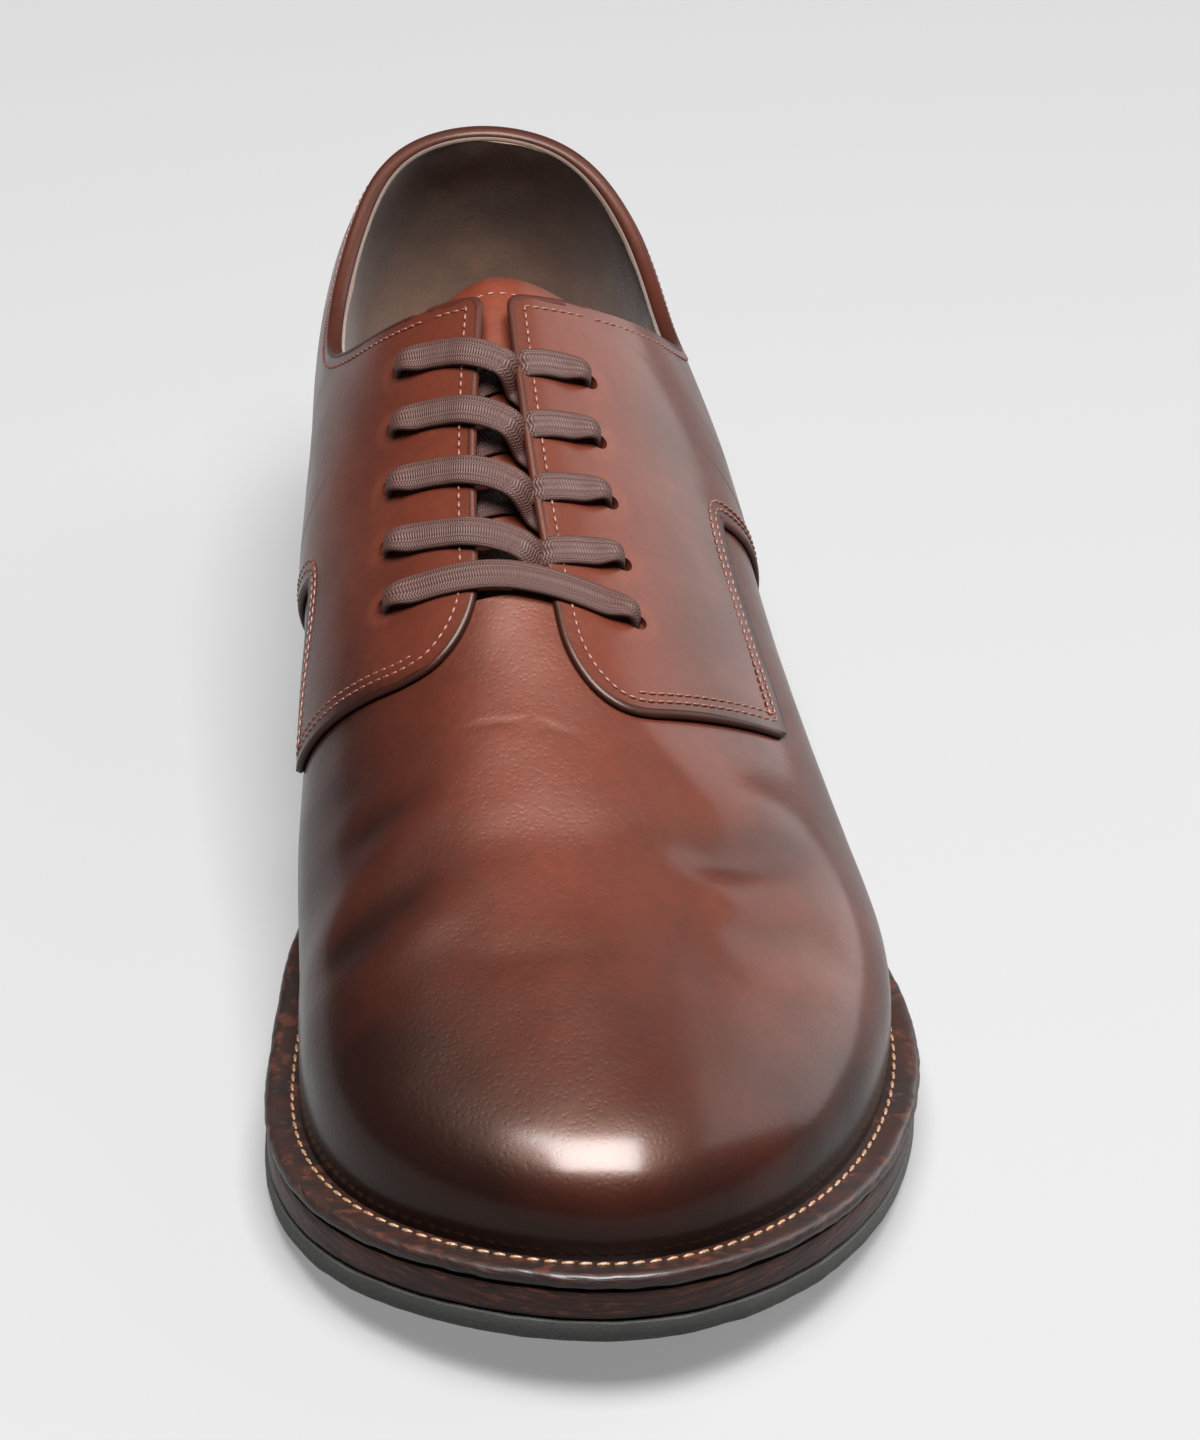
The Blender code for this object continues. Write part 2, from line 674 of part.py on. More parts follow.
def eyelet_spots(side):
    """Y and signed reach of the eyelets of one facing, from the top one to the front."""
    part = np.linspace(0, 1, EYELET_ROWS)
    places = EYELET_TOP + (EYELET_FRONT - EYELET_TOP) * part
    reaches = side * (EYELET_HALF_TOP + (EYELET_HALF_FRONT - EYELET_HALF_TOP) * part)
    return places - EYELET_SKEW * reaches, reaches


def make_eyelet_cutters():
    """Pins through both facings, joined in one object."""
    shape = bmesh.new()
    for side in (1, -1):
        places, reaches = eyelet_spots(side)
        low = over(places, reaches, PIN_LOW)
        high = over(places, reaches, PIN_HIGH)
        for start, end in zip(low, high):
            axis = Vector(end) - Vector(start)
            turn = axis.to_track_quat("Z", "Y").to_matrix().to_4x4()
            turn.translation = (Vector(start) + Vector(end)) / 2
            bmesh.ops.create_cone(
                shape, cap_ends=True, segments=PIN_SIDES, radius1=EYELET_RADIUS, radius2=EYELET_RADIUS,
                depth=axis.length, matrix=turn)
    mesh = bpy.data.meshes.new("eyelet_pins")
    shape.to_mesh(mesh)
    shape.free()
    return bpy.data.objects.new("eyelet_pins", mesh)


def tongue_depth(place):
    """How far the tongue lies under the skin: close under the vamp, deeper under the lace."""
    deep = LACE_THICK + 2 * LACE_ROOM
    return GAP + (deep - GAP) * ease((place - TONGUE_DIP_START) / TONGUE_DIP_RUN)


def make_tongue(material):
    """The tongue, from under the vamp to above the facings."""
    part = np.linspace(0, 1, TONGUE_ROWS)[:, None]
    side = np.linspace(-1, 1, TONGUE_COLUMNS)[None, :]
    place = TONGUE_FRONT + (TONGUE_TOP - TONGUE_FRONT) * part - TONGUE_ROUND * side**4 * part**6
    half = TONGUE_HALF_FRONT + (TONGUE_HALF_TOP - TONGUE_HALF_FRONT) * part
    depth = tongue_depth(place)
    outer = over(place, half * side, -depth)
    inner = over(place, half * side, -depth - TONGUE_THICK)
    return sheet_solid("tongue", outer, inner, material)


def lace_strip(name, start, finish, lifts, material):
    """A flat strip between two spots over the instep, its lifts given at even steps."""
    part = np.linspace(0, 1, len(lifts))[:, None]
    start, finish = np.array(start), np.array(finish)
    line = start + (finish - start) * part
    along = (finish - start) / np.linalg.norm(finish - start)
    across = np.array([-along[1], along[0]]) * LACE_WIDTH / 2
    side = np.array([-1.0, 0.0, 1.0])
    place = line[:, :1] + across[0] * side
    reach = line[:, 1:] + across[1] * side
    lift = np.asarray(lifts)[:, None] + 0 * side
    outer = over(place, reach, lift + LACE_THICK)
    inner = over(place, reach, lift)
    return sheet_solid(name, outer, inner, material)


def lace_rest():
    """The lift at which a lace lies on a facing."""
    return VAMP_THICK + QUARTER_STEP + QUARTER_FOLD + GAP


def strip_lifts(start, finish, edge):
    """Lifts of a strip that runs over one facing, dives in the gap and ends under the other."""
    reach = abs(start) - (abs(start) + abs(finish)) * np.linspace(0, 1, LACE_STEPS)
    deep = -LACE_THICK - LACE_ROOM
    return lace_rest() + (deep - lace_rest()) * ease((edge - reach) / (2 * edge))


def make_crossing(row, material):
    """The two strips that cross in the gap below a row of eyelets, to be joined."""
    pair = []
    for side in (1, -1):
        start = np.array(eyelet_spots(side))[:, row]
        full = np.array(eyelet_spots(-side))[:, row + 1] - start
        edge = gap_half(start[0])
        share = (abs(start[1]) + edge + LACE_TUCK) / abs(full[1])
        finish = start + full * share
        start = start - full / np.linalg.norm(full) * LACE_END
        lifts = strip_lifts(start[1], finish[1], edge - 2 * GAP)
        pair.append(lace_strip(f"lace_crossing_{row + 1}", start, finish, lifts, material))
    return pair


def make_bar(material):
    """The straight bar of lace over the front row of eyelets."""
    start, finish = (np.array(eyelet_spots(side))[:, -1] for side in (1, -1))
    end = (finish - start) / np.linalg.norm(finish - start) * LACE_END
    return lace_strip("lace_bar", start - end, finish + end, [lace_rest()] * BAR_STEPS, material)


def boolean(target, tool, operation, solver="EXACT"):
    """A Boolean modifier by an object that is itself left out of the shoe."""
    modifier = target.modifiers.new(tool.name, "BOOLEAN")
    modifier.object = tool
    modifier.operation = operation
    modifier.solver = solver


def settle(target):
    """Apply the modifiers, and drop the specks left between two skins that nearly touch."""
    bpy.context.view_layer.update()
    evaluated = target.evaluated_get(bpy.context.evaluated_depsgraph_get())
    mesh = bpy.data.meshes.new_from_object(evaluated)
    shape = bmesh.new()
    shape.from_mesh(mesh)
    bmesh.ops.triangulate(shape, faces=shape.faces[:])
    islands = []
    unseen = set(shape.verts)
    while unseen:
        reached = [unseen.pop()]
        for vertex in reached:
            fresh = {edge.other_vert(vertex) for edge in vertex.link_edges} & unseen
            unseen -= fresh
            reached.extend(fresh)
        islands.append(reached)
    islands.sort(key=len)
    specks = [vertex for island in islands[:-1] for vertex in island]
    bmesh.ops.delete(shape, geom=specks, context="VERTS")
    shape.to_mesh(mesh)
    shape.free()
    target.modifiers.clear()
    target.data = mesh


def make_materials():
    """One Principled material for each finish."""
    materials = {}
    for name, (colour, roughness, metallic) in FINISHES.items():
        material = bpy.data.materials.new(name)
        material.use_nodes = True
        shader = material.node_tree.nodes["Principled BSDF"]
        shader.inputs["Base Color"].default_value = (*colour, 1)
        shader.inputs["Roughness"].default_value = roughness
        shader.inputs["Metallic"].default_value = metallic
        materials[name] = material
    return materials


def main():
    """Build the shoe."""
    for old in list(bpy.data.objects):
        bpy.data.objects.remove(old, do_unlink=True)
    shoe = bpy.data.collections.new("derby_shoe")
    tools = bpy.data.collections.new("cutters")
    for collection in (shoe, tools):
        bpy.context.scene.collection.children.link(collection)
    materials = make_materials()
    parts = []

    upper = make_shell(materials["upper_leather"])
    band = make_quarters(materials["upper_leather"])
    pins = make_eyelet_cutters()
    boolean(upper, band, "UNION", "MANIFOLD")
    boolean(upper, pins, "DIFFERENCE", "MANIFOLD")
    parts.append(upper)
    guides = [band, pins]

    parts.append(make_tongue(materials["tongue_leather"]))
    parts.append(make_insole(materials["insole_leather"]))
    parts.append(make_welt(materials["welt_leather"]))
    parts.append(sole_plate("midsole", MIDSOLE_STEP, midsole_base, MIDSOLE_THICK, materials["midsole_leather"]))
    parts.append(sole_plate("outsole", OUTSOLE_STEP, tread_height, OUTSOLE_THICK, materials["sole_rubber"]))

    lift_space = (HEEL_HEIGHT - TOP_PIECE_THICK) / LIFT_COUNT
    for number in range(LIFT_COUNT):
        base = TOP_PIECE_THICK + number * lift_space + GAP / 2
        step = MIDSOLE_STEP + (LIFT_COUNT - number) * LIFT_STEP
        lift = heel_lift(f"heel_lift_{number + 1}", base, lift_space - GAP, step, materials["heel_leather"])
        parts.append(lift)
    parts.append(heel_lift(
        "heel_top_piece", 0.0, TOP_PIECE_THICK - GAP / 2, MIDSOLE_STEP, materials["sole_rubber"]))

    parts.append(make_bar(materials["lace_cotton"]))
    for row in range(EYELET_ROWS - 1):
        first, second = make_crossing(row, materials["lace_cotton"])
        boolean(first, second, "UNION")
        parts.append(first)
        guides.append(second)

    for part in parts:
        shoe.objects.link(part)
    for guide in guides:
        tools.objects.link(guide)
    centre = welt_centre()
    for piece in parts + guides:
        piece.location = (-centre[0], -centre[1], 0)
    settle(upper)
    for guide in guides:
        guide.hide_render = True
        guide.display_type = "WIRE"


main()
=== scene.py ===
"""A plain-toe derby shoe for the left foot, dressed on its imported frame.

Units are metres. The toe points along -Y, the outer side of the foot is +X, +Z is up.
"""

import logging
import math
from dataclasses import dataclass, field
from enum import Enum
from typing import Callable, Sequence

import bmesh
import bpy
import numpy as np
from mathutils import Euler, Matrix, Vector


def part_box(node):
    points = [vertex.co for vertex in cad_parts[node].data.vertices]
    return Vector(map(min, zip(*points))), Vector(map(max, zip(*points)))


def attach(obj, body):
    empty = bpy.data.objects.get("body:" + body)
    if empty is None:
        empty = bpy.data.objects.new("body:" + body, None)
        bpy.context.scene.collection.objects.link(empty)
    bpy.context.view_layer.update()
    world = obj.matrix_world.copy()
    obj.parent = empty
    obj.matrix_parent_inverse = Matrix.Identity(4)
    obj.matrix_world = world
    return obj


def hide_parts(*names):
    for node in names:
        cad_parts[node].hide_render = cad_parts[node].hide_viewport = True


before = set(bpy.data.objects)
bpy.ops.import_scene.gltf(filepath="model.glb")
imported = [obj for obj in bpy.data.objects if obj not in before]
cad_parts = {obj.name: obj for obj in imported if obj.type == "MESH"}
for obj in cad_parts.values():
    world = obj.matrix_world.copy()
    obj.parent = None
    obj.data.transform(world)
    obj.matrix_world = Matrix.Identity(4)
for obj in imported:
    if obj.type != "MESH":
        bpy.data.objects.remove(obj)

LOG = logging.getLogger("derby")
BODY = "root"
CREASE = math.radians(50)
SHEET_CREASE = math.radians(55)
FACES_TRIED = 50
BATCH = 24
Field = Callable[[np.ndarray], np.ndarray]


class Side(Enum):
    """The two sides of the shoe."""

    OUTER = 1
    INNER = -1


def side_of(columns: np.ndarray) -> Side:
    """The side that signed section numbers are on."""
    return Side.OUTER if np.mean(columns) > 0 else Side.INNER


def ease(value: np.ndarray) -> np.ndarray:
    """0 to 1 with level ends."""
    value = np.clip(value, 0.0, 1.0)
    return value * value * (3 - 2 * value)


def spline(knots: Sequence[float], values: Sequence[float], places: np.ndarray) -> np.ndarray:
    """A smooth curve through a short table, straight at its ends.

    Args:
        knots: Where the values stand, rising.
        values: One value for each knot.
        places: Where the curve is wanted.

    Returns:
        The curve's values.
    """
    knots, values = np.asarray(knots, float), np.asarray(values, float)
    steps = np.diff(knots)
    slopes = np.diff(values) / steps
    system = np.eye(len(knots))
    wanted = np.zeros(len(knots))
    for row in range(1, len(knots) - 1):
        system[row, row - 1:row + 2] = (steps[row - 1], 2 * (steps[row - 1] + steps[row]), steps[row])
        wanted[row] = 6 * (slopes[row] - slopes[row - 1])
    bend = np.linalg.solve(system, wanted)
    places = np.clip(np.asarray(places, float), knots[0], knots[-1])
    low = np.clip(np.searchsorted(knots, places, side="right") - 1, 0, len(steps) - 1)
    part = (places - knots[low]) / steps[low]
    rest = 1 - part
    bent = (rest**3 - rest) * bend[low] + (part**3 - part) * bend[low + 1]
    return rest * values[low] + part * values[low + 1] + bent * steps[low] ** 2 / 6


def ripple(points: np.ndarray, scale: float, seed: int, octaves: int = 3) -> np.ndarray:
    """Seeded smooth unevenness in space, about -1 to 1.

    Args:
        points: Places, the last axis is X, Y, Z.
        scale: The length of the longest wave.
        seed: Which unevenness.
        octaves: How many finer layers there are.

    Returns:
        One value for each point.
    """
    dice = np.random.default_rng(seed)
    total = np.zeros(points.shape[:-1])
    for octave in range(octaves):
        for _ in range(5):
            way = dice.normal(size=3)
            way *= 2 * math.pi * 2**octave / scale / np.linalg.norm(way)
            total += np.sin(points @ way + dice.uniform(0, 6.28)) * 0.32 / 1.7**octave
    return total


# Profiles of the skin from foot line to crown: shares of the reach and of the rise.
PROFILES = {
    "heel": [(1, 0), (1, .12), (1, .28), (.955, .42), (.865, .55),
             (.73, .68), (.55, .85), (.31, .96), (0, 1)],
    "instep": [(1, 0), (1, .10), (1, .24), (.97, .40), (.88, .56),
               (.71, .71), (.48, .855), (.24, .955), (0, 1)],
    "joint": [(1, 0), (1, .12), (.985, .30), (.93, .47), (.82, .63),
              (.65, .78), (.42, .91), (.20, .98), (0, 1)],
    "toe": [(1, 0), (1, .14), (.975, .30), (.91, .41), (.80, .495),
            (.61, .60), (.40, .715), (.20, .85), (0, 1)],
}
PROFILE_ORDER = ("heel", "instep", "joint", "toe")
# How much of the wall's bulge is left at each point of a profile.
BULGE_FADE = (0, .42, .85, 1, .94, .76, .50, .23, 0)
# One row for each section from the back of the heel to the toe.
STATION_COLUMNS = (
    "foot", "outer", "inner", "crown", "lean", "crown_height", "shape",
    "outer_bulge", "inner_bulge", "reach")
STATIONS = [
    (0.000, 0.000, 0.000, 0.135, 0.000, 1.000, 0.0, 0.020, 0.020, 0.58),
    (0.016, 0.158, 0.158, 0.135, 0.000, 1.000, 0.0, 0.020, 0.020, 0.58),
    (0.057, 0.266, 0.262, 0.135, 0.000, 1.000, 0.0, 0.021, 0.020, 0.58),
    (0.125, 0.318, 0.308, 0.140, 0.000, 0.995, 0.0, 0.022, 0.022, 0.58),
    (0.215, 0.322, 0.292, 0.218, -0.025, 0.985, 0.2, 0.034, 0.070, 0.61),
    (0.315, 0.330, 0.262, 0.315, -0.060, 0.950, 0.5, 0.062, 0.130, 0.72),
    (0.405, 0.360, 0.262, 0.405, -0.080, 0.868, 1.0, 0.070, 0.163, 0.84),
    (0.490, 0.404, 0.300, 0.490, -0.088, 0.765, 1.4, 0.066, 0.146, 0.93),
    (0.575, 0.464, 0.366, 0.575, -0.085, 0.662, 1.8, 0.050, 0.104, 0.98),
    (0.655, 0.515, 0.432, 0.655, -0.078, 0.580, 2.0, 0.034, 0.064, 1.00),
    (0.735, 0.546, 0.474, 0.655, -0.078, 0.580, 2.23, 0.022, 0.034, 1.00),
    (0.810, 0.520, 0.500, 0.655, -0.078, 0.580, 2.5, 0.014, 0.020, 1.00),
    (0.880, 0.438, 0.476, 0.655, -0.078, 0.580, 2.7, 0.010, 0.013, 1.00),
    (0.940, 0.312, 0.374, 0.655, -0.078, 0.580, 2.9, 0.010, 0.010, 1.00),
    (0.983, 0.156, 0.202, 0.655, -0.078, 0.580, 3.0, 0.010, 0.010, 1.00),
    (1.000, -0.015, 0.015, 0.655, -0.078, 0.580, 3.0, 0.010, 0.010, 1.00),
]
# The collar seen from the side: share of the foot length from the heel, height above the ground.
COLLAR = [
    (0.000, 0.0930), (0.035, 0.0922), (0.085, 0.0860), (0.140, 0.0785), (0.200, 0.0748),
    (0.255, 0.0765), (0.300, 0.0835), (0.335, 0.0935), (0.356, 0.1010), (0.376, 0.1100),
]
LEVELS = len(BULGE_FADE)
TOE = len(STATIONS) - 1
AROUND = 2 * TOE
CROWN = LEVELS - 1


@dataclass(frozen=True)
class Wing:
    """The lower edge of one quarter: rises, a share of the foot length, and how far back its arc is set."""

    notch_rise: float
    corner: float
    rise: float
    set_back: float = 0.0


WINGS = {Side.OUTER: Wing(0.585, 0.622, 0.545), Side.INNER: Wing(0.47, 0.568, 0.34, 0.0118)}


@dataclass
class Last:
    """The last: a smooth skin through the table of sections, and the lines drawn on it."""

    foot_length: float = 0.290
    ball_width: float = 0.100
    crown_height: float = 0.118
    instep_slope: float = 0.42
    toe_spring: float = 0.0105
    spring_start: float = -0.066
    arch_start: float = -0.022
    breast_place: float = 0.066
    heel_height: float = 0.0175
    outsole_thick: float = 0.0048
    midsole_thick: float = 0.0064
    gap: float = 0.0003
    welt_reach: float = 0.0083
    vamp_thick: float = 0.0015
    quarter_step: float = 0.0014
    heel_fan: int = 3
    toe_fan: int = 9
    facing_top: float = 0.038
    eyelet_front: float = -0.0190
    gap_half_top: float = 0.0026
    gap_half_front: float = 0.0070
    facing_turn: float = -0.0280
    facing_turn_width: float = 0.0115
    notch_rear: float = 0.398
    notch_top: float = 0.450
    wing_front: float = 0.652
    band_tip: float = 0.0015
    corner_sharp: float = 26.0
    corner_top: float = 0.97
    welt_marks: int = 1441
    samples: int = 161
    step: float = 1e-3
    net: np.ndarray = field(init=False)
    centre: np.ndarray = field(init=False)

    def __post_init__(self) -> None:
        """Draw the net of the last and find the middle of the welt's outline."""
        outer = [self.section(index, Side.OUTER) for index in range(TOE + 1)]
        inner = [self.section(index, Side.INNER) for index in range(TOE - 1, 0, -1)]
        self.net = np.array(outer + inner)
        self.centre = np.zeros(3)
        low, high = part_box("welt")
        marks = np.linspace(0, AROUND, self.welt_marks)
        outline = self.rim(marks, self.sole_reach(marks))
        middle = (outline.min(axis=0) + outline.max(axis=0)) / 2
        self.centre = np.array([*(middle - (np.array(low[:2]) + np.array(high[:2])) / 2), 0.0])

    def value(self, index: int, column: str) -> float:
        """One named value of the station table."""
        return STATIONS[index][STATION_COLUMNS.index(column)]

    def place_of(self, share: float) -> np.ndarray:
        """The Y of a share of the foot length, counted from the heel."""
        return self.foot_length * (0.5 - np.asarray(share, float))

    def tread_height(self, place: np.ndarray) -> np.ndarray:
        """The height of the outsole's underside at a Y."""
        place = np.asarray(place, float)
        toe = self.foot_length / 2 + self.spring_start
        spring = self.toe_spring * (np.clip(self.spring_start - place, 0, None) / toe) ** 2
        rise = ease((place - self.arch_start) / (self.breast_place - self.arch_start))
        return spring + self.heel_height * rise

    def midsole_base(self, place: np.ndarray) -> np.ndarray:
        """The height of the midsole's underside at a Y."""
        return self.tread_height(place) + self.outsole_thick + self.gap

    def foot_height(self, place: np.ndarray) -> np.ndarray:
        """The height at which upper, welt and insole stand at a Y."""
        return self.midsole_base(place) + self.midsole_thick + self.gap

    def section(self, index: int, side: Side) -> list[list[float]]:
        """The net points of one section on one side, with the slope at the crown."""
        outer = side is Side.OUTER
        width = self.value(index, "outer" if outer else "inner") * self.ball_width
        foot_place = float(self.place_of(self.value(index, "foot")))
        foot = np.array([side.value * width, foot_place, float(self.foot_height(foot_place))])
        crown = np.array([
            self.value(index, "lean") * self.ball_width,
            float(self.place_of(self.value(index, "crown"))),
            self.value(index, "crown_height") * self.crown_height,
        ])
        reach = np.linalg.norm(foot[:2] - crown[:2])
        outward = (foot[:2] - crown[:2]) / reach
        bulge = self.value(index, "outer_bulge" if outer else "inner_bulge") * self.ball_width
        shape = self.value(index, "shape")
        low = min(int(shape), len(PROFILE_ORDER) - 2)
        first, second = (np.array(PROFILES[PROFILE_ORDER[low + step]]) for step in (0, 1))
        points = []
        for (share, rise), fade in zip(first + (second - first) * (shape - low), BULGE_FADE):
            spot = crown[:2] + outward * (reach * share + bulge * fade)
            points.append([*spot, foot[2] + (crown[2] - foot[2]) * rise])
        step = crown[:2] - np.array(points[-2][:2])
        climb = self.instep_slope * max(0.0, -outward[1]) * np.linalg.norm(step)
        points.append([*step, climb])
        return points

    def around_weights(self, places: np.ndarray) -> np.ndarray:
        """Weights of the sections for a smooth closed curve round the shoe."""
        unit = np.eye(AROUND)
        before, after = np.roll(unit, 1, axis=0), np.roll(unit, -1, axis=0)
        bend = np.linalg.solve(before + 4 * unit + after, 6 * (before - 2 * unit + after))
        places = np.asarray(places, float) % AROUND
        low = np.floor(places).astype(int) % AROUND
        high = (low + 1) % AROUND
        part = (places - np.floor(places))[:, None]
        rest = 1 - part
        straight = rest * unit[low] + part * unit[high]
        return straight + ((rest**3 - rest) * bend[low] + (part**3 - part) * bend[high]) / 6

    def rising_weights(self, rises: np.ndarray) -> np.ndarray:
        """Weights of a profile's points and of its end slope up the skin."""
        last = LEVELS - 1
        system = np.eye(LEVELS)
        wanted = np.zeros((LEVELS, LEVELS + 1))
        for level in range(1, last):
            system[level, level - 1:level + 2] = (1, 4, 1)
            wanted[level, level - 1:level + 2] = (6, -12, 6)
        system[last, last - 1:last + 1] = (1, 2)
        wanted[last, last - 1:] = (6, -6, 6)
        bend = np.linalg.solve(system, wanted)
        unit = np.eye(LEVELS, LEVELS + 1)
        places = np.clip(np.asarray(rises, float), 0, 1) * last
        low = np.minimum(np.floor(places).astype(int), last - 1)
        part = (places - low)[:, None]
        rest = 1 - part
        straight = rest * unit[low] + part * unit[low + 1]
        return straight + ((rest**3 - rest) * bend[low] + (part**3 - part) * bend[low + 1]) / 6

    def bare(self, around: np.ndarray, rise: np.ndarray) -> np.ndarray:
        """Points of the last's skin, before its centre is moved."""
        weights = self.around_weights(around)
        raised = self.rising_weights(rise)
        spots = np.zeros((len(raised), 3))
        for axis in range(3):
            spots[:, axis] = ((weights @ self.net[:, :, axis]) * raised).sum(axis=1)
        folded = np.minimum(np.asarray(around, float) % AROUND, -np.asarray(around, float) % AROUND)
        pull = np.zeros_like(spots)
        crowns = weights @ self.net[:, CROWN]
        fans = ((self.heel_fan - 1, folded < self.heel_fan - 1), (self.toe_fan, folded > self.toe_fan))
        for fan, inside in fans:
            pull[inside] = self.net[fan, CROWN] - crowns[inside]
        return spots + pull * ease(2 * np.asarray(rise, float) - 1)[:, None]

    def normal(self, around: np.ndarray, rise: np.ndarray) -> np.ndarray:
        """Outward unit normals of the skin, level at the foot line."""
        around, rise = np.broadcast_arrays(np.asarray(around, float), np.asarray(rise, float))
        shape = around.shape
        around, rise = around.ravel(), rise.ravel()
        step = self.step
        rise = np.clip(rise, step, 1 - 8 * step)
        along = self.bare(around + step, rise) - self.bare(around - step, rise)
        upward = self.bare(around, rise + step) - self.bare(around, rise - step)
        normal = np.cross(upward, along)
        normal[:, 2] *= ease(rise * 10)
        return (normal / np.linalg.norm(normal, axis=1, keepdims=True)).reshape(*shape, 3)

    def skin(self, around: np.ndarray, rise: np.ndarray, lift: np.ndarray = 0.0) -> np.ndarray:
        """Points lifted off the skin by a distance along its normal.

        Args:
            around: Section numbers, from the heel by the outer side.
            rise: 0 at the foot line to 1 at the crown.
            lift: Distance off the skin.

        Returns:
            The points, in the shoe's own frame.
        """
        around, rise, lift = np.broadcast_arrays(around, rise, lift)
        shape = around.shape
        around, rise, lift = (np.asarray(each, float).ravel() for each in (around, rise, lift))
        spots = self.bare(around, rise) + self.normal(around, rise) * lift[:, None]
        spots[:, 2] = np.maximum(spots[:, 2], self.foot_height(spots[:, 1]))
        return spots.reshape(*shape, 3) - self.centre

    def rise_where(self, around: np.ndarray, passed: Field) -> np.ndarray:
        """The rise from which on a measure of the uncentred points stays above zero."""
        around = np.asarray(around, float)
        rises = np.linspace(0, 1, self.samples)
        grid = np.broadcast_arrays(around[:, None], rises)
        points = self.bare(*(each.ravel() for each in grid)).reshape(*grid[0].shape, 3)
        points[..., 2] = np.maximum(points[..., 2], self.foot_height(points[..., 1]))
        values = passed(points)
        values[:, -1] = np.maximum(values[:, -1], 1e-9)
        high = np.clip(self.samples - np.argmax(values[:, ::-1] < 0, axis=1), 1, self.samples - 1)
        row = np.arange(len(around))
        below, above = values[row, high - 1], values[row, high]
        part = np.clip(-below / (above - below), 0, 1)
        return rises[high - 1] + part * (rises[high] - rises[high - 1])

    def rise_at_height(self, around: np.ndarray, height: float) -> np.ndarray:
        """The rise at which the skin is a height above the midsole."""
        return self.rise_where(around, lambda p: p[..., 2] - self.foot_height(p[..., 1]) - height)

    def rise_at_reach(self, around: np.ndarray, reach: Field | np.ndarray) -> np.ndarray:
        """The rise at which the skin is a plan distance from its crown."""
        def nearer(points: np.ndarray) -> np.ndarray:
            distance = np.linalg.norm(points[..., :2] - points[:, -1:, :2], axis=-1)
            wanted = reach(points[..., 1]) if callable(reach) else np.asarray(reach)[:, None]
            return wanted - distance
        return self.rise_where(around, nearer)

    def around_at(self, place: float) -> np.ndarray:
        """The section number, on the outer side, at a Y between the two fans."""
        arounds = np.linspace(self.heel_fan, self.toe_fan, self.samples)
        crowns = self.bare(arounds, np.ones(self.samples))
        return np.interp(-np.asarray(place, float), -crowns[:, 1], arounds)

    def over_marks(self, place: np.ndarray, reach: np.ndarray) -> tuple[np.ndarray, np.ndarray]:
        """Section number and rise at a Y and a signed plan distance from the crown line."""
        place, reach = np.broadcast_arrays(place, reach)
        shape = place.shape
        around = self.around_at(place.ravel())
        around = np.where(reach.ravel() < 0, AROUND - around, around)
        rise = self.rise_at_reach(around, np.abs(reach.ravel()))
        return around.reshape(shape), rise.reshape(shape)

    def over(self, place: np.ndarray, reach: np.ndarray, lift: np.ndarray) -> np.ndarray:
        """Points over the instep at a Y and a signed plan distance from the crown line."""
        around, rise = self.over_marks(place, reach)
        return self.skin(around, rise, np.broadcast_to(lift, around.shape))

    def rim(self, around: np.ndarray, reach: np.ndarray) -> np.ndarray:
        """Plan points a reach outside the foot line."""
        around = np.asarray(around, float)
        foot = np.zeros(len(around))
        spots = self.bare(around, foot)[:, :2]
        along = (self.bare(around + self.step, foot) - self.bare(around - self.step, foot))[:, :2]
        along /= np.linalg.norm(along, axis=1, keepdims=True)
        outward = np.stack([-along[:, 1], along[:, 0]], axis=1)
        return spots + outward * np.broadcast_to(reach, len(spots))[:, None] - self.centre[:2]

    def sole_reach(self, around: np.ndarray) -> np.ndarray:
        """How far the welt reaches outside the foot line."""
        sections = list(range(TOE + 1)) + list(range(TOE - 1, 0, -1))
        shares = np.array([self.value(index, "reach") for index in sections])
        return self.around_weights(around) @ shares * self.welt_reach

    def gap_half(self, place: np.ndarray) -> np.ndarray:
        """Half the width of the gap between the facings at a Y."""
        part = (self.facing_top - place) / (self.facing_top - self.eyelet_front)
        return self.gap_half_top + (self.gap_half_front - self.gap_half_top) * np.clip(part, 0, 1.3)

    def facing_front(self, side: Side) -> float:
        """The Y at which a facing's arc ends."""
        return float(self.place_of(self.wing_front)) + WINGS[side].set_back

    def facing_reach(self, place: np.ndarray, side: Side) -> np.ndarray:
        """The reach of a facing's inner edge, which turns outward in an arc at its front."""
        front = self.facing_front(side)
        turn = self.facing_turn + WINGS[side].set_back
        part = np.clip((turn - place) / (turn - front), 0, 1)
        return self.gap_half(place) + self.facing_turn_width * (1 - np.sqrt(1 - part**2))

    def collar_rise(self, around: np.ndarray) -> np.ndarray:
        """The rise of the collar."""
        knots, heights = zip(*COLLAR)
        return self.rise_where(
            around, lambda p: p[..., 2] - spline(knots, heights, 0.5 - p[..., 1] / self.foot_length))

    def top_rise(self, around: np.ndarray) -> np.ndarray:
        """The rise of the collar and of the facings' edges, with a rounded corner between."""
        collar = self.collar_rise(around)
        collar = collar + ease((collar - self.corner_top) / (1 - self.corner_top))
        side = side_of(around)
        gap = self.rise_at_reach(around, lambda place: self.facing_reach(place, side))
        low, high = np.minimum(collar, gap), np.maximum(collar, gap)
        return low - np.log1p(np.exp(-self.corner_sharp * (high - low))) / self.corner_sharp

    def quarter_marks(self, side: Side) -> list[float]:
        """Where the quarter's lower edge turns: notch rear, notch top, wing corner, front end."""
        places = [self.place_of(share) for share in (self.notch_rear, self.notch_top, WINGS[side].corner)]
        return [float(self.around_at(place)) for place in (*places, self.facing_front(side))]

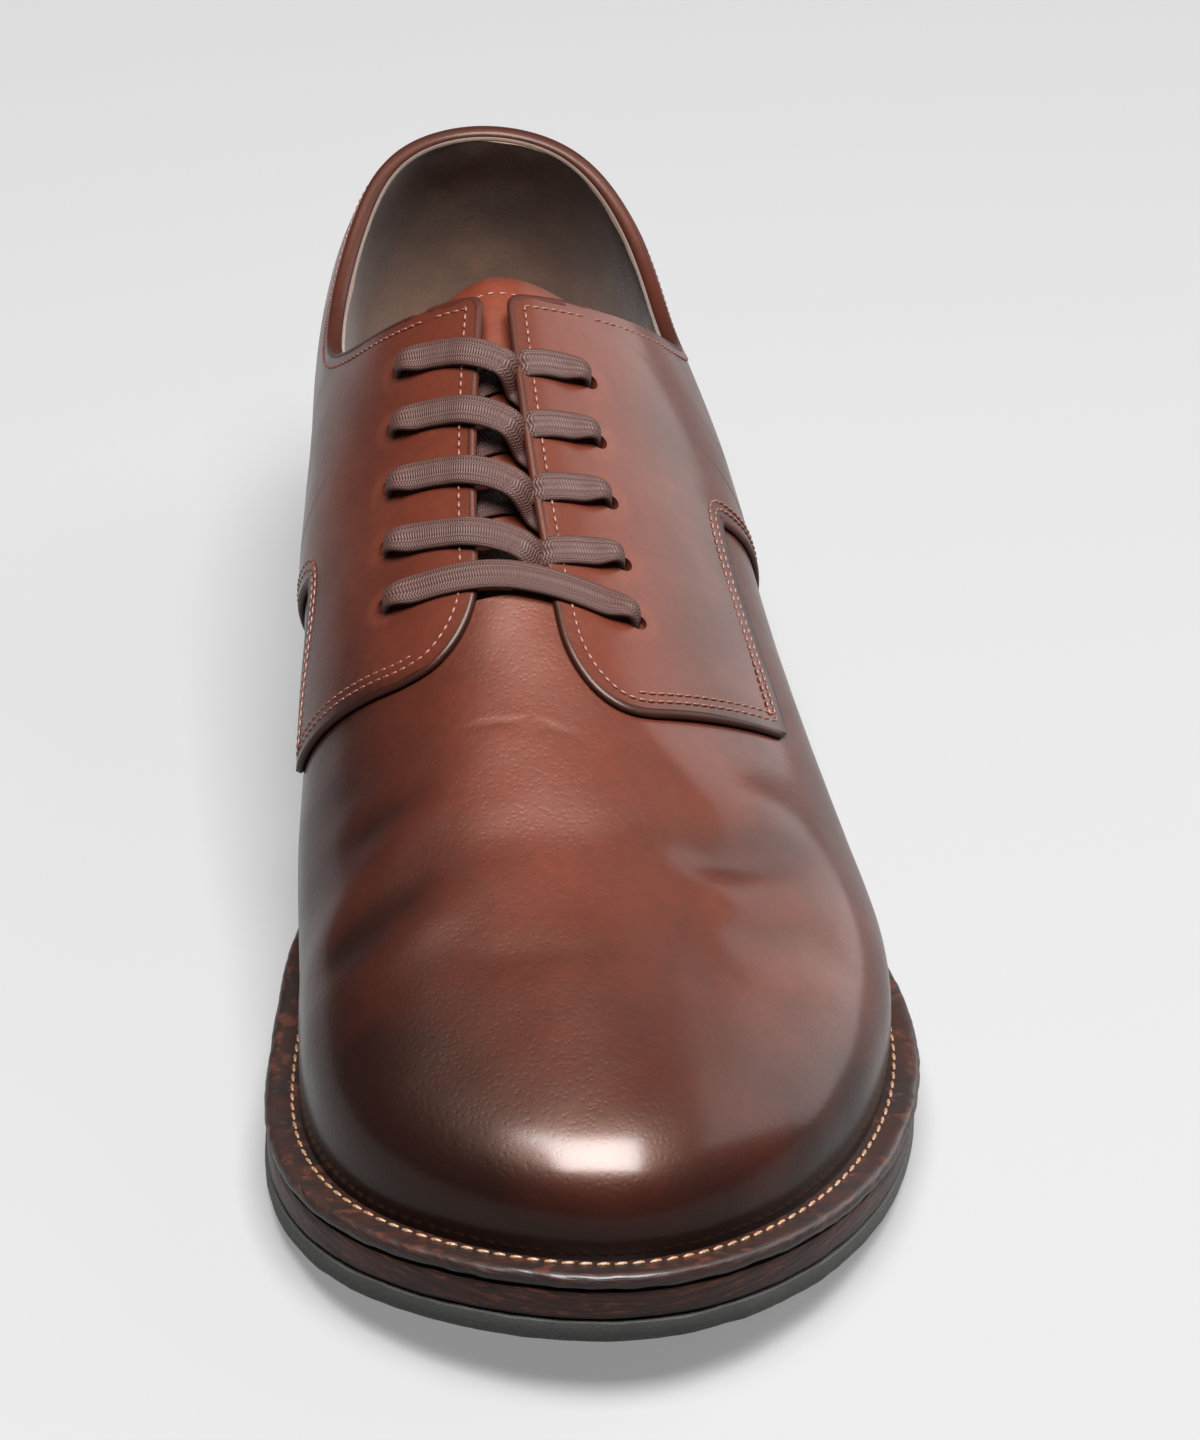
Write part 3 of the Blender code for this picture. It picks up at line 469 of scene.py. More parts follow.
    def quarter_floor(self, columns: np.ndarray) -> np.ndarray:
        """The rise of the quarters' lower edge."""
        side = side_of(columns)
        wing = WINGS[side]
        rear, top, corner, front = self.quarter_marks(side)
        folded = np.abs(columns)
        up = wing.notch_rise * np.sqrt(np.clip((folded - rear) / (top - rear), 0, 1))
        down = (wing.notch_rise - wing.rise) * ease((folded - top) / (corner - top))
        far = float(self.facing_reach(self.facing_front(side), side)) + self.band_tip
        tip = self.rise_at_reach(columns, np.full(len(columns), far))
        over_front = (tip - wing.rise) * np.clip((folded - corner) / (front - corner), 0, 1)
        return np.maximum(up - down + over_front, self.rise_at_height(columns, self.gap))


@dataclass
class Route:
    """A line drawn on the shoe: its points and the way outward at each."""

    points: np.ndarray
    normals: np.ndarray
    closed: bool = False

    @property
    def tangents(self) -> np.ndarray:
        """Unit directions along the line."""
        if self.closed:
            along = np.roll(self.points, -1, axis=0) - np.roll(self.points, 1, axis=0)
        else:
            along = np.gradient(self.points, axis=0)
        return along / np.maximum(np.linalg.norm(along, axis=1, keepdims=True), 1e-12)

    @property
    def across(self) -> np.ndarray:
        """Unit directions in the surface, to the left of the line seen from outside."""
        side = np.cross(self.normals, self.tangents)
        return side / np.maximum(np.linalg.norm(side, axis=1, keepdims=True), 1e-12)

    @property
    def lengths(self) -> np.ndarray:
        """Distance along the line to each point."""
        points = np.vstack([self.points, self.points[:1]]) if self.closed else self.points
        return np.concatenate([[0], np.cumsum(np.linalg.norm(np.diff(points, axis=0), axis=1))])

    def spaced(self, step: float) -> "Route":
        """The same line with even steps between its points."""
        lengths = self.lengths
        count = max(3, round(lengths[-1] / step))
        marks = np.linspace(0, lengths[-1], count + 1)
        points, normals = self.points, self.normals
        if self.closed:
            marks = marks[:-1]
            points, normals = (np.vstack([each, each[:1]]) for each in (points, normals))
        new_points = np.column_stack([np.interp(marks, lengths, points[:, axis]) for axis in range(3)])
        new_normals = np.column_stack([np.interp(marks, lengths, normals[:, axis]) for axis in range(3)])
        new_normals /= np.linalg.norm(new_normals, axis=1, keepdims=True)
        return Route(new_points, new_normals, self.closed)

    def smooth(self, rounds: int) -> "Route":
        """The line with its small corners rounded, its ends kept."""
        points = self.points.copy()
        for _ in range(rounds):
            inner = (points[:-2] + points[2:]) / 4 + points[1:-1] / 2
            points[1:-1] = inner
        return Route(points, self.normals, self.closed)

    def shifted(self, across: float, lift: float) -> "Route":
        """The line moved sideways in the surface and off it."""
        points = self.points + self.across * across + self.normals * lift
        return Route(points, self.normals, self.closed)

    def part(self, start: float, end: float) -> "Route":
        """The stretch between two distances, an end of 0 or less counted from the far end."""
        lengths = self.lengths[:len(self.points)]
        stop = end if end > 0 else lengths[-1] + end
        keep = (lengths >= start) & (lengths <= stop)
        return Route(self.points[keep], self.normals[keep])


def bake_mesh(name: str, shape: bmesh.types.BMesh) -> bpy.types.Mesh:
    """A mesh from a bmesh, which is freed."""
    mesh = bpy.data.meshes.new(name)
    shape.to_mesh(mesh)
    shape.free()
    return mesh


def add_object(name: str, data: bpy.types.ID) -> bpy.types.Object:
    """A new object in the scene."""
    piece = bpy.data.objects.new(name, data)
    bpy.context.scene.collection.objects.link(piece)
    return piece


def even(value: float) -> Field:
    """A field with the same value everywhere."""
    return lambda spots: np.full(len(spots), value)


def place_grid(name: str, points: np.ndarray, span: float = 1.0) -> bpy.types.Object:
    """A quad grid whose vertices stand on given points, its meeting edges welded.

    Args:
        name: Name of the object.
        points: Rows by columns of places.
        span: Length in metres that the UV map covers along the rows.

    Returns:
        The new object, linked and riding on the body.
    """
    rows, columns = points.shape[:2]
    shape = bmesh.new()
    layer = shape.loops.layers.uv.new("UVMap")
    bmesh.ops.create_grid(shape, x_segments=columns - 1, y_segments=rows - 1, size=1, calc_uvs=True)
    shape.verts.ensure_lookup_table()
    for vertex, place in zip(shape.verts, points.reshape(-1, 3)):
        vertex.co = place
    for face in shape.faces:
        for loop in face.loops:
            loop[layer].uv = (loop[layer].uv[0] * span, loop[layer].uv[1])
    bmesh.ops.remove_doubles(shape, verts=shape.verts[:], dist=2e-6)
    bmesh.ops.recalc_face_normals(shape, faces=shape.faces[:])
    return finish_mesh(name, shape)


def close_ends(piece: bpy.types.Object) -> bpy.types.Object:
    """Fill the open ends of a piece and face it outward."""
    shape = bmesh.new()
    shape.from_mesh(piece.data)
    bmesh.ops.holes_fill(shape, edges=[edge for edge in shape.edges if edge.is_boundary])
    bmesh.ops.recalc_face_normals(shape, faces=shape.faces[:])
    shape.to_mesh(piece.data)
    shape.free()
    return piece


def finish_mesh(name: str, shape: bmesh.types.BMesh, crease: float = CREASE) -> bpy.types.Object:
    """An object from a bmesh, riding on the body, smooth but for edges past the crease angle."""
    mesh = bake_mesh(name, shape)
    mesh.shade_smooth()
    mesh.set_sharp_from_angle(angle=crease)
    piece = add_object(name, mesh)
    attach(piece, BODY)
    LOG.info("%s: %d faces", name, len(mesh.polygons))
    return piece


def sweep(name: str, route: Route, profile: np.ndarray, widths: np.ndarray | None = None,
          taper: float = 0.0) -> bpy.types.Object:
    """A closed profile drawn along a line.

    Args:
        name: Name of the object.
        route: The line.
        profile: Closed loop of (across, lift) in metres, not repeating its first point.
        widths: Share of the profile's across at each point of the line.
        taper: Length over which the profile narrows at open ends.

    Returns:
        The piece.
    """
    loop = np.vstack([profile, profile[:1]])
    share = np.ones(len(route.points)) if widths is None else widths
    size = np.ones(len(route.points))
    if taper > 0:
        lengths = route.lengths[:len(route.points)]
        ends = np.minimum(lengths, lengths[-1] - lengths)
        size = np.sqrt(np.clip(1 - (1 - np.clip(ends / taper, 0, 1)) ** 2, 0.01, 1))
    across, normals = route.across, route.normals
    points = (route.points[:, None]
              + across[:, None] * (loop[:, 0] * share[:, None] * size[:, None])[..., None]
              + normals[:, None] * (loop[:, 1] * size[:, None])[..., None])
    if route.closed:
        points = np.concatenate([points, points[:1]])
    piece = place_grid(name, points.transpose(1, 0, 2), float(route.lengths[-1]))
    return piece if route.closed else close_ends(piece)


def ring(half_width: float, half_height: float, count: int = 12, square: float = 1.0) -> np.ndarray:
    """A rounded closed profile, from an ellipse to nearly a rectangle."""
    angle = np.linspace(0, 2 * math.pi, count, endpoint=False)
    cos, sin = np.cos(angle), np.sin(angle)
    return np.column_stack([
        half_width * np.sign(cos) * np.abs(cos) ** square,
        half_height * np.sign(sin) * np.abs(sin) ** square])


def sew(name: str, routes: Sequence[Route], pitch: float, length: float, thick: float,
        lean: float = 0.0) -> bpy.types.Object:
    """Rows of thread stitches as one piece.

    Args:
        name: Name of the object.
        routes: The lines that they follow, on the surface.
        pitch: Distance from one stitch to the next.
        length: Length of a stitch.
        thick: Thickness of the thread.
        lean: Angle of each stitch to its line.

    Returns:
        The piece.
    """
    turns: list[Matrix] = []
    for route in routes:
        row = route.spaced(pitch)
        for point, tangent, normal in zip(row.points, row.tangents, row.normals):
            along = Matrix.Rotation(lean, 3, Vector(normal)) @ Vector(tangent)
            side = Vector(normal).cross(along).normalized()
            turn = Matrix((along, side, Vector(normal))).transposed().to_4x4()
            size = Matrix.Diagonal((length, thick, thick, 1))
            turns.append(Matrix.Translation(Vector(point)) @ turn @ size)
    whole = bmesh.new()
    for start in range(0, len(turns), BATCH):
        few = bmesh.new()
        for turn in turns[start:start + BATCH]:
            bmesh.ops.create_uvsphere(few, u_segments=6, v_segments=6, radius=0.5, matrix=turn)
        passing = bake_mesh("few_stitches", few)
        whole.from_mesh(passing)
        bpy.data.meshes.remove(passing)
    bmesh.ops.recalc_face_normals(whole, faces=whole.faces[:])
    return finish_mesh(name, whole)


def mark_points(piece: bpy.types.Object, name: str, values: Field) -> None:
    """Store a value for each vertex, which the piece's finish reads."""
    mesh = piece.data
    points = np.empty(len(mesh.vertices) * 3)
    mesh.vertices.foreach_get("co", points)
    layer = mesh.attributes.new(name, "FLOAT", "POINT")
    layer.data.foreach_set("value", np.ascontiguousarray(values(points.reshape(-1, 3)), dtype=np.float32))


def near_line(points: np.ndarray, line: np.ndarray) -> np.ndarray:
    """Distance from each point to the nearest of a line's points."""
    nearest = np.full(len(points), np.inf)
    for start in range(0, len(line), BATCH):
        block = np.linalg.norm(points[:, None] - line[None, start:start + BATCH], axis=-1)
        nearest = np.minimum(nearest, block.min(axis=1))
    return nearest


class Graph:
    """Adds nodes to a node tree and links them by socket name."""

    def __init__(self, tree: bpy.types.NodeTree) -> None:
        """Work on one tree."""
        self.tree = tree

    def add(self, kind: str, settings: dict[str, object] | None = None,
            **sockets: object) -> bpy.types.Node:
        """Add a node.

        Args:
            kind: Blender's name of the node.
            settings: Properties of the node.
            sockets: Input values or sockets to link, an underscore for a space in a name.

        Returns:
            The node.
        """
        node = self.tree.nodes.new(kind)
        for name, value in (settings or {}).items():
            setattr(node, name, value)
        for name, value in sockets.items():
            spot = node.inputs[int(name[1:])] if name[1:].isdigit() else node.inputs[name.replace("_", " ")]
            if isinstance(value, bpy.types.NodeSocket):
                self.tree.links.new(value, spot)
            else:
                spot.default_value = value
        return node

    def math(self, operation: str, first: object, second: object = 0.5) -> bpy.types.NodeSocket:
        """A math node's result."""
        return self.add("ShaderNodeMath", {"operation": operation}, i0=first, i1=second).outputs[0]

    def remap(self, value: object, low: float, high: float, new_low: float = 0.0,
              new_high: float = 1.0) -> bpy.types.NodeSocket:
        """A value stretched from one range to another and clamped."""
        node = self.add("ShaderNodeMapRange", {}, Value=value, From_Min=low, From_Max=high,
                        To_Min=new_low, To_Max=new_high)
        return node.outputs["Result"]

    def mix(self, share: object, first: object, second: object) -> bpy.types.NodeSocket:
        """Two colours mixed by a share."""
        node = self.add("ShaderNodeMix", {"data_type": "RGBA"}, i0=share, i6=first, i7=second)
        return node.outputs[2]

    def noise(self, where: object, scale: object, detail: float, rough: float) -> bpy.types.NodeSocket:
        """A noise value from 0 to 1."""
        node = self.add("ShaderNodeTexNoise", {}, Vector=where, Scale=scale, Detail=detail, Roughness=rough)
        return node.outputs["Fac"]

    def place(self) -> bpy.types.NodeSocket:
        """Object coordinates."""
        return self.add("ShaderNodeTexCoord").outputs["Object"]

    def stored(self, name: str) -> bpy.types.NodeSocket:
        """A value stored on the piece."""
        return self.add("ShaderNodeAttribute", {"attribute_name": name}).outputs["Fac"]


def colour(red: int, green: int, blue: int) -> tuple[float, float, float, float]:
    """A linear colour from one given in the usual 0 to 255."""
    parts = [part / 255 for part in (red, green, blue)]
    linear = [part / 12.92 if part <= 0.04045 else ((part + 0.055) / 1.055) ** 2.4 for part in parts]
    return (*linear, 1.0)


def make_group(name: str, inputs: dict[str, float | None], outputs: Sequence[str]) -> bpy.types.NodeTree:
    """An empty shader group with named inputs and outputs, None for a place input."""
    group = bpy.data.node_groups.new(name, "ShaderNodeTree")
    for label, value in inputs.items():
        kind = "NodeSocketVector" if value is None else "NodeSocketFloat"
        socket = group.interface.new_socket(label, in_out="INPUT", socket_type=kind)
        if value is not None:
            socket.default_value = value
    for label in outputs:
        group.interface.new_socket(label, in_out="OUTPUT", socket_type="NodeSocketFloat")
    return group


def grain_group() -> bpy.types.NodeTree:
    """Polished calf: fine pores, faint wrinkles and cloudy colour, all as values."""
    inputs = {"Place": None, "Pores": 900.0, "Clouds": 34.0}
    group = make_group("calf_grain", inputs, ("Height", "Cloud", "Speck"))
    graph = Graph(group)
    given = graph.add("NodeGroupInput").outputs
    pores = graph.add("ShaderNodeTexVoronoi", {"feature": "F1"}, Vector=given["Place"], Scale=given["Pores"])
    dots = graph.remap(pores.outputs["Distance"], 0.05, 0.45)
    fine = graph.noise(given["Place"], 420.0, 4.0, 0.6)
    cloud = graph.noise(given["Place"], given["Clouds"], 5.0, 0.62)
    height = graph.math("ADD", graph.math("MULTIPLY", dots, 0.45), graph.math("MULTIPLY", fine, 0.8))
    graph.add("NodeGroupOutput", {}, Height=height, Cloud=graph.remap(cloud, 0.32, 0.68),
              Speck=graph.remap(fine, 0.35, 0.7))
    return group


def weave_group() -> bpy.types.NodeTree:
    """Plaited waxed cotton: a herringbone of short strands along the UV map."""
    group = make_group("lace_weave", {"Place": None, "Along": 1500.0, "Across": 7.0}, ("Height", "Fleck"))
    graph = Graph(group)
    given = graph.add("NodeGroupInput").outputs
    split = graph.add("ShaderNodeSeparateXYZ", {}, Vector=given["Place"])
    along = graph.math("MULTIPLY", split.outputs["X"], given["Along"])
    across = graph.math("MULTIPLY", split.outputs["Y"], given["Across"])
    vee = graph.math("PINGPONG", across, 1.0)
    strand = graph.math("SINE", graph.math("ADD", graph.math("MULTIPLY", along, 3.1416), graph.math(
        "MULTIPLY", vee, 4.5)))
    rows = graph.math("SINE", graph.math("MULTIPLY", across, 6.2832))
    height = graph.math("ADD", graph.math("MULTIPLY", strand, 0.6), graph.math("MULTIPLY", rows, 0.4))
    fleck = graph.noise(given["Place"], 2600.0, 2.0, 0.7)
    graph.add("NodeGroupOutput", {}, Height=height, Fleck=graph.remap(fleck, 0.6, 0.72))
    return group


def scratch_group() -> bpy.types.NodeTree:
    """Edge leather: fine level streaks, broken marks and dark stain."""
    group = make_group("edge_scratches", {"Place": None}, ("Height", "Streak", "Mark"))
    graph = Graph(group)
    given = graph.add("NodeGroupInput").outputs
    flat = graph.add(
        "ShaderNodeVectorMath", {"operation": "MULTIPLY"}, i0=given["Place"], i1=(60.0, 60.0, 1900.0))
    streak = graph.noise(flat.outputs[0], 1.0, 4.0, 0.6)
    short = graph.add(
        "ShaderNodeVectorMath", {"operation": "MULTIPLY"}, i0=given["Place"], i1=(260.0, 260.0, 1500.0))
    mark = graph.noise(short.outputs[0], 1.0, 3.0, 0.55)
    height = graph.math("ADD", streak, graph.math("MULTIPLY", mark, 0.7))
    graph.add("NodeGroupOutput", {}, Height=height, Streak=graph.remap(streak, 0.35, 0.68),
              Mark=graph.remap(mark, 0.56, 0.66))
    return group


GROUPS: dict[str, bpy.types.NodeTree] = {
    "grain": grain_group(), "weave": weave_group(), "scratch": scratch_group()}


def new_material(name: str) -> tuple[bpy.types.Material, Graph, bpy.types.Node]:
    """A node material, its graph and its Principled shader."""
    material = bpy.data.materials.new(name)
    material.use_nodes = True
    graph = Graph(material.node_tree)
    return material, graph, material.node_tree.nodes["Principled BSDF"]


@dataclass(frozen=True)
class Calf:
    """Burnished calf leather: dark where one stored value is high, which holds the real burnish and painted
    shade, and warm where a second stored value holds a warm tint and painted light.
    """

    name: str
    light: tuple[int, int, int] = (57, 25, 17)
    middle: tuple[int, int, int] = (38, 14, 9)
    dark: tuple[int, int, int] = (13, 4, 3)
    # The warm colour mixed in by the second stored value: painted light on the tops of the vamp and
    # quarters, an even warm tint elsewhere.
    warmth_and_light: tuple[int, int, int] = (63, 26, 16)
    rough: float = 0.36
    coat: float = 0.27
    coat_rough: float = 0.19
    shine: float = 0.13
    cast: tuple[float, float, float, float] = (1.0, 0.55, 0.40, 1.0)
    bump: float = 0.16
    clouds: float = 34.0
    stored: bool = True

    def make(self) -> bpy.types.Material:
        """The material."""
        material, graph, shader = new_material(self.name)
        where = graph.place()
        grain = graph.add("ShaderNodeGroup", {"node_tree": GROUPS["grain"]}, Place=where, Clouds=self.clouds)
        cloud = grain.outputs["Cloud"]
        # The stored darkness: real burnish and mottling, with painted shade where the pieces mark it.
        burnish_and_shade = graph.stored("burnish_and_shade") if self.stored else 0.4
        tone = graph.math("ADD", burnish_and_shade, graph.math("MULTIPLY", graph.math("SUBTRACT", cloud, 0.5), 0.34))
        ramp = graph.add("ShaderNodeValToRGB", {}, Fac=tone).color_ramp
        ramp.elements[0].color, ramp.elements[1].color = colour(*self.light), colour(*self.dark)
        ramp.elements.new(0.45).color = colour(*self.middle)
        base = material.node_tree.nodes[-1].outputs["Color"]
        if self.stored:
            # Mix in the warm colour: painted light where the pieces mark it, an even warm tint on the tongue
            # and sock.
            base = graph.mix(graph.math("MULTIPLY", graph.stored("warmth_and_light"), 0.75), base, colour(*self.warmth_and_light))
        base = graph.mix(graph.math("MULTIPLY", grain.outputs["Speck"], 0.16), base, colour(*self.dark))
        rough = graph.remap(cloud, 0.0, 1.0, self.rough - 0.05, self.rough + 0.08)
        bump = graph.add("ShaderNodeBump", {}, Strength=self.bump, Distance=0.00035,
                         Height=grain.outputs["Height"])
        for socket, value in (("Base Color", base), ("Roughness", rough), ("Normal", bump.outputs[0])):
            graph.tree.links.new(value, shader.inputs[socket])
        shader.inputs["Coat Weight"].default_value = self.coat
        shader.inputs["Coat Roughness"].default_value = self.coat_rough
        shader.inputs["Coat IOR"].default_value = 1.45
        shader.inputs["Specular IOR Level"].default_value = self.shine
        shader.inputs["Specular Tint"].default_value = self.cast
        return material


@dataclass(frozen=True)
class Suede:
    """Brushed lining leather."""

    name: str
    tone: tuple[int, int, int] = (92, 65, 46)
    shade: tuple[int, int, int] = (62, 42, 30)
    rough: float = 0.88

    def make(self) -> bpy.types.Material:
        """The material."""
        material, graph, shader = new_material(self.name)
        where = graph.place()
        cloud = graph.noise(where, 60.0, 5.0, 0.65)
        nap = graph.noise(where, 1400.0, 3.0, 0.7)
        base = graph.mix(graph.remap(cloud, 0.3, 0.7), colour(*self.tone), colour(*self.shade))
        tips = graph.math("MULTIPLY", graph.remap(nap, 0.4, 0.65), 0.35)
        base = graph.mix(tips, base, colour(*self.shade))
        bump = graph.add("ShaderNodeBump", {}, Strength=0.35, Distance=0.0004, Height=nap)
        graph.tree.links.new(base, shader.inputs["Base Color"])
        graph.tree.links.new(bump.outputs[0], shader.inputs["Normal"])
        shader.inputs["Roughness"].default_value = self.rough
        shader.inputs["Sheen Weight"].default_value = 0.15
        return material


@dataclass(frozen=True)
class Edge:
    """The trimmed, stained edge of sole leather."""

    name: str
    tone: tuple[int, int, int] = (48, 20, 13)
    stain: tuple[int, int, int] = (17, 7, 5)
    warm: tuple[int, int, int] = (78, 37, 22)
    rough: float = 0.42
    coat: float = 0.04
    bump: float = 0.5

    def make(self) -> bpy.types.Material:
        """The material."""
        material, graph, shader = new_material(self.name)
        lines = graph.add("ShaderNodeGroup", {"node_tree": GROUPS["scratch"]}, Place=graph.place())
        cloud = graph.remap(graph.noise(graph.place(), 70.0, 4.0, 0.6), 0.35, 0.65)
        base = graph.mix(lines.outputs["Streak"], colour(*self.stain), colour(*self.tone))
        base = graph.mix(graph.math("MULTIPLY", cloud, 0.45), base, colour(*self.stain))
        base = graph.mix(graph.math("MULTIPLY", lines.outputs["Mark"], 0.55), base, colour(*self.warm))
        rough = graph.remap(lines.outputs["Streak"], 0.0, 1.0, self.rough + 0.15, self.rough)
        bump = graph.add("ShaderNodeBump", {}, Strength=self.bump, Distance=0.0004,
                         Height=lines.outputs["Height"])
        for socket, value in (("Base Color", base), ("Roughness", rough), ("Normal", bump.outputs[0])):
            graph.tree.links.new(value, shader.inputs[socket])
        shader.inputs["Coat Weight"].default_value = self.coat
        shader.inputs["Coat Roughness"].default_value = 0.22
        shader.inputs["Specular IOR Level"].default_value = 0.2
        return material


@dataclass(frozen=True)
class Rubber:
    """Dark moulded rubber, a little dusty."""

    name: str
    tone: tuple[int, int, int] = (27, 27, 25)
    dust: tuple[int, int, int] = (50, 48, 44)

    def make(self) -> bpy.types.Material:
        """The material."""
        material, graph, shader = new_material(self.name)
        where = graph.place()
        grit = graph.noise(where, 900.0, 4.0, 0.65)
        cloud = graph.remap(graph.noise(where, 55.0, 4.0, 0.6), 0.45, 0.75)
        base = graph.mix(graph.math("MULTIPLY", cloud, 0.3), colour(*self.tone), colour(*self.dust))
        base = graph.mix(graph.math("MULTIPLY", graph.remap(grit, 0.55, 0.7), 0.4), base, colour(*self.dust))
        bump = graph.add("ShaderNodeBump", {}, Strength=0.4, Distance=0.0004, Height=grit)
        graph.tree.links.new(base, shader.inputs["Base Color"])
        graph.tree.links.new(graph.remap(grit, 0.3, 0.7, 0.6, 0.85), shader.inputs["Roughness"])
        graph.tree.links.new(bump.outputs[0], shader.inputs["Normal"])
        return material


@dataclass(frozen=True)
class WaxedCotton:
    """The lace: plaited and waxed, with painted shade in the grooves between its strands, which leaves their
    crowns paler.
    """

    name: str
    tone: tuple[int, int, int] = (49, 26, 20)
    # The colour of the painted shade between the strands.
    deep: tuple[int, int, int] = (32, 16, 12)
    fleck: tuple[int, int, int] = (70, 48, 41)

    def make(self) -> bpy.types.Material:
        """The material."""
        material, graph, shader = new_material(self.name)
        where = graph.add("ShaderNodeTexCoord").outputs["UV"]
        weave = graph.add("ShaderNodeGroup", {"node_tree": GROUPS["weave"]}, Place=where,
                          Along=3600.0, Across=22.0)
        # Painted shade: the low parts of the weave take the darker colour.
        raised = graph.remap(weave.outputs["Height"], -0.6, 0.5)
        base = graph.mix(raised, colour(*self.deep), colour(*self.tone))
        base = graph.mix(graph.math("MULTIPLY", weave.outputs["Fleck"], 0.6), base, colour(*self.fleck))
        bump = graph.add("ShaderNodeBump", {}, Strength=0.4, Distance=0.0003, Height=weave.outputs["Height"])
        graph.tree.links.new(base, shader.inputs["Base Color"])
        graph.tree.links.new(bump.outputs[0], shader.inputs["Normal"])
        shader.inputs["Roughness"].default_value = 0.55
        shader.inputs["Specular IOR Level"].default_value = 0.2
        return material


@dataclass(frozen=True)
class Thread:
    """Waxed sewing thread with a visible twist."""

    name: str
    tone: tuple[int, int, int] = (73, 45, 28)
    shade: tuple[int, int, int] = (43, 24, 14)

    def make(self) -> bpy.types.Material:
        """The material."""
        material, graph, shader = new_material(self.name)
        twist = graph.noise(graph.place(), 2200.0, 2.0, 0.5)
        base = graph.mix(graph.remap(twist, 0.35, 0.65), colour(*self.shade), colour(*self.tone))
        bump = graph.add("ShaderNodeBump", {}, Strength=0.4, Distance=0.0002, Height=twist)
        graph.tree.links.new(base, shader.inputs["Base Color"])
        graph.tree.links.new(bump.outputs[0], shader.inputs["Normal"])
        shader.inputs["Roughness"].default_value = 0.5
        return material


def dress(piece: bpy.types.Object, material: bpy.types.Material) -> None:
    """Give a piece its finish."""
    piece.data.materials.clear()
    piece.data.materials.append(material)


@dataclass(frozen=True)
class Fold:
    """A soft crease in the leather: a trough with raised lips along a bowed line in plan."""

    start: tuple[float, float]
    end: tuple[float, float]
    depth: float
    width: float
    bow: float = 0.0
    lip: float = 0.5

    def lift(self, points: np.ndarray) -> np.ndarray:
        """How far the leather stands off its smooth shape."""
        start, end = np.array(self.start), np.array(self.end)
        length = np.linalg.norm(end - start)
        along = (end - start) / length
        side = np.array([-along[1], along[0]])
        share = (points[..., :2] - start) @ along / length
        aside = (points[..., :2] - start) @ side - self.bow * 4 * share * (1 - share)
        fade = ease((share + 0.3) / 0.5) * ease((1.3 - share) / 0.5)
        trough = -np.exp(-(aside / self.width) ** 2)
        lips = self.lip * np.exp(-((np.abs(aside) - 2.0 * self.width) / (1.1 * self.width)) ** 2)
        return self.depth * fade * (trough + lips)


FOLDS = (
    Fold((-0.0280, -0.0700), (0.0130, -0.0690), 0.00026, 0.0056, -0.0030, 0.1),
    Fold((-0.0250, -0.0950), (0.0010, -0.0962), 0.00020, 0.0034, -0.0015, 0.1),
    Fold((-0.0190, -0.0470), (-0.0020, -0.0500), 0.00008, 0.0010, 0.0006, 0.1),
    Fold((-0.0450, -0.0850), (-0.0290, -0.0760), 0.00070, 0.0045, 0.0010),
    Fold((0.0180, -0.0740), (0.0400, -0.0640), 0.00060, 0.0050, -0.0020),
    Fold((-0.0400, -0.0600), (-0.0280, -0.0560), 0.00045, 0.0035),
    Fold((0.0250, -0.0900), (0.0420, -0.0860), 0.00035, 0.0045),
)


def sheet(name: str, points: np.ndarray, normals: np.ndarray, thick: float,
          keep: np.ndarray | None = None) -> bpy.types.Object:
    """A leather sheet: a grid laid on its outer face, given its thickness inward.

    Args:
        name: Name of the object.
        points: Rows by columns of places on the outer face.
        normals: The way outward at each place.
        thick: Thickness of the leather.
        keep: For each cell of the grid, whether it is leather.

    Returns:
        The piece.
    """
    rows, columns = points.shape[:2]
    shape = bmesh.new()
    bmesh.ops.create_grid(shape, x_segments=columns - 1, y_segments=rows - 1, size=1)
    for vertex, place in zip(shape.verts, points.reshape(-1, 3)):
        vertex.co = place
    middle = len(shape.faces) // 2 + columns // 3
    shape.normal_update()
    flat = normals[:-1, :-1].reshape(-1, 3)
    tried = zip(shape.faces[middle:middle + FACES_TRIED], flat[middle:])
    agree = sum(face.normal.dot(Vector(way)) for face, way in tried)
    if agree < 0:
        bmesh.ops.reverse_faces(shape, faces=shape.faces[:])
    if keep is not None:
        gone = [face for face, stays in zip(shape.faces, keep.ravel()) if not stays]
        bmesh.ops.delete(shape, geom=gone, context="FACES")
    bmesh.ops.remove_doubles(shape, verts=shape.verts[:], dist=1e-6)
    shape.normal_update()
    inner, inward = shape.faces[:], [(vertex, vertex.normal.copy()) for vertex in shape.verts]
    bmesh.ops.extrude_face_region(shape, geom=inner, use_keep_orig=True)
    for vertex, way in inward:
        vertex.co -= way * thick
    bmesh.ops.reverse_faces(shape, faces=inner)
    return finish_mesh(name, shape, SHEET_CREASE)


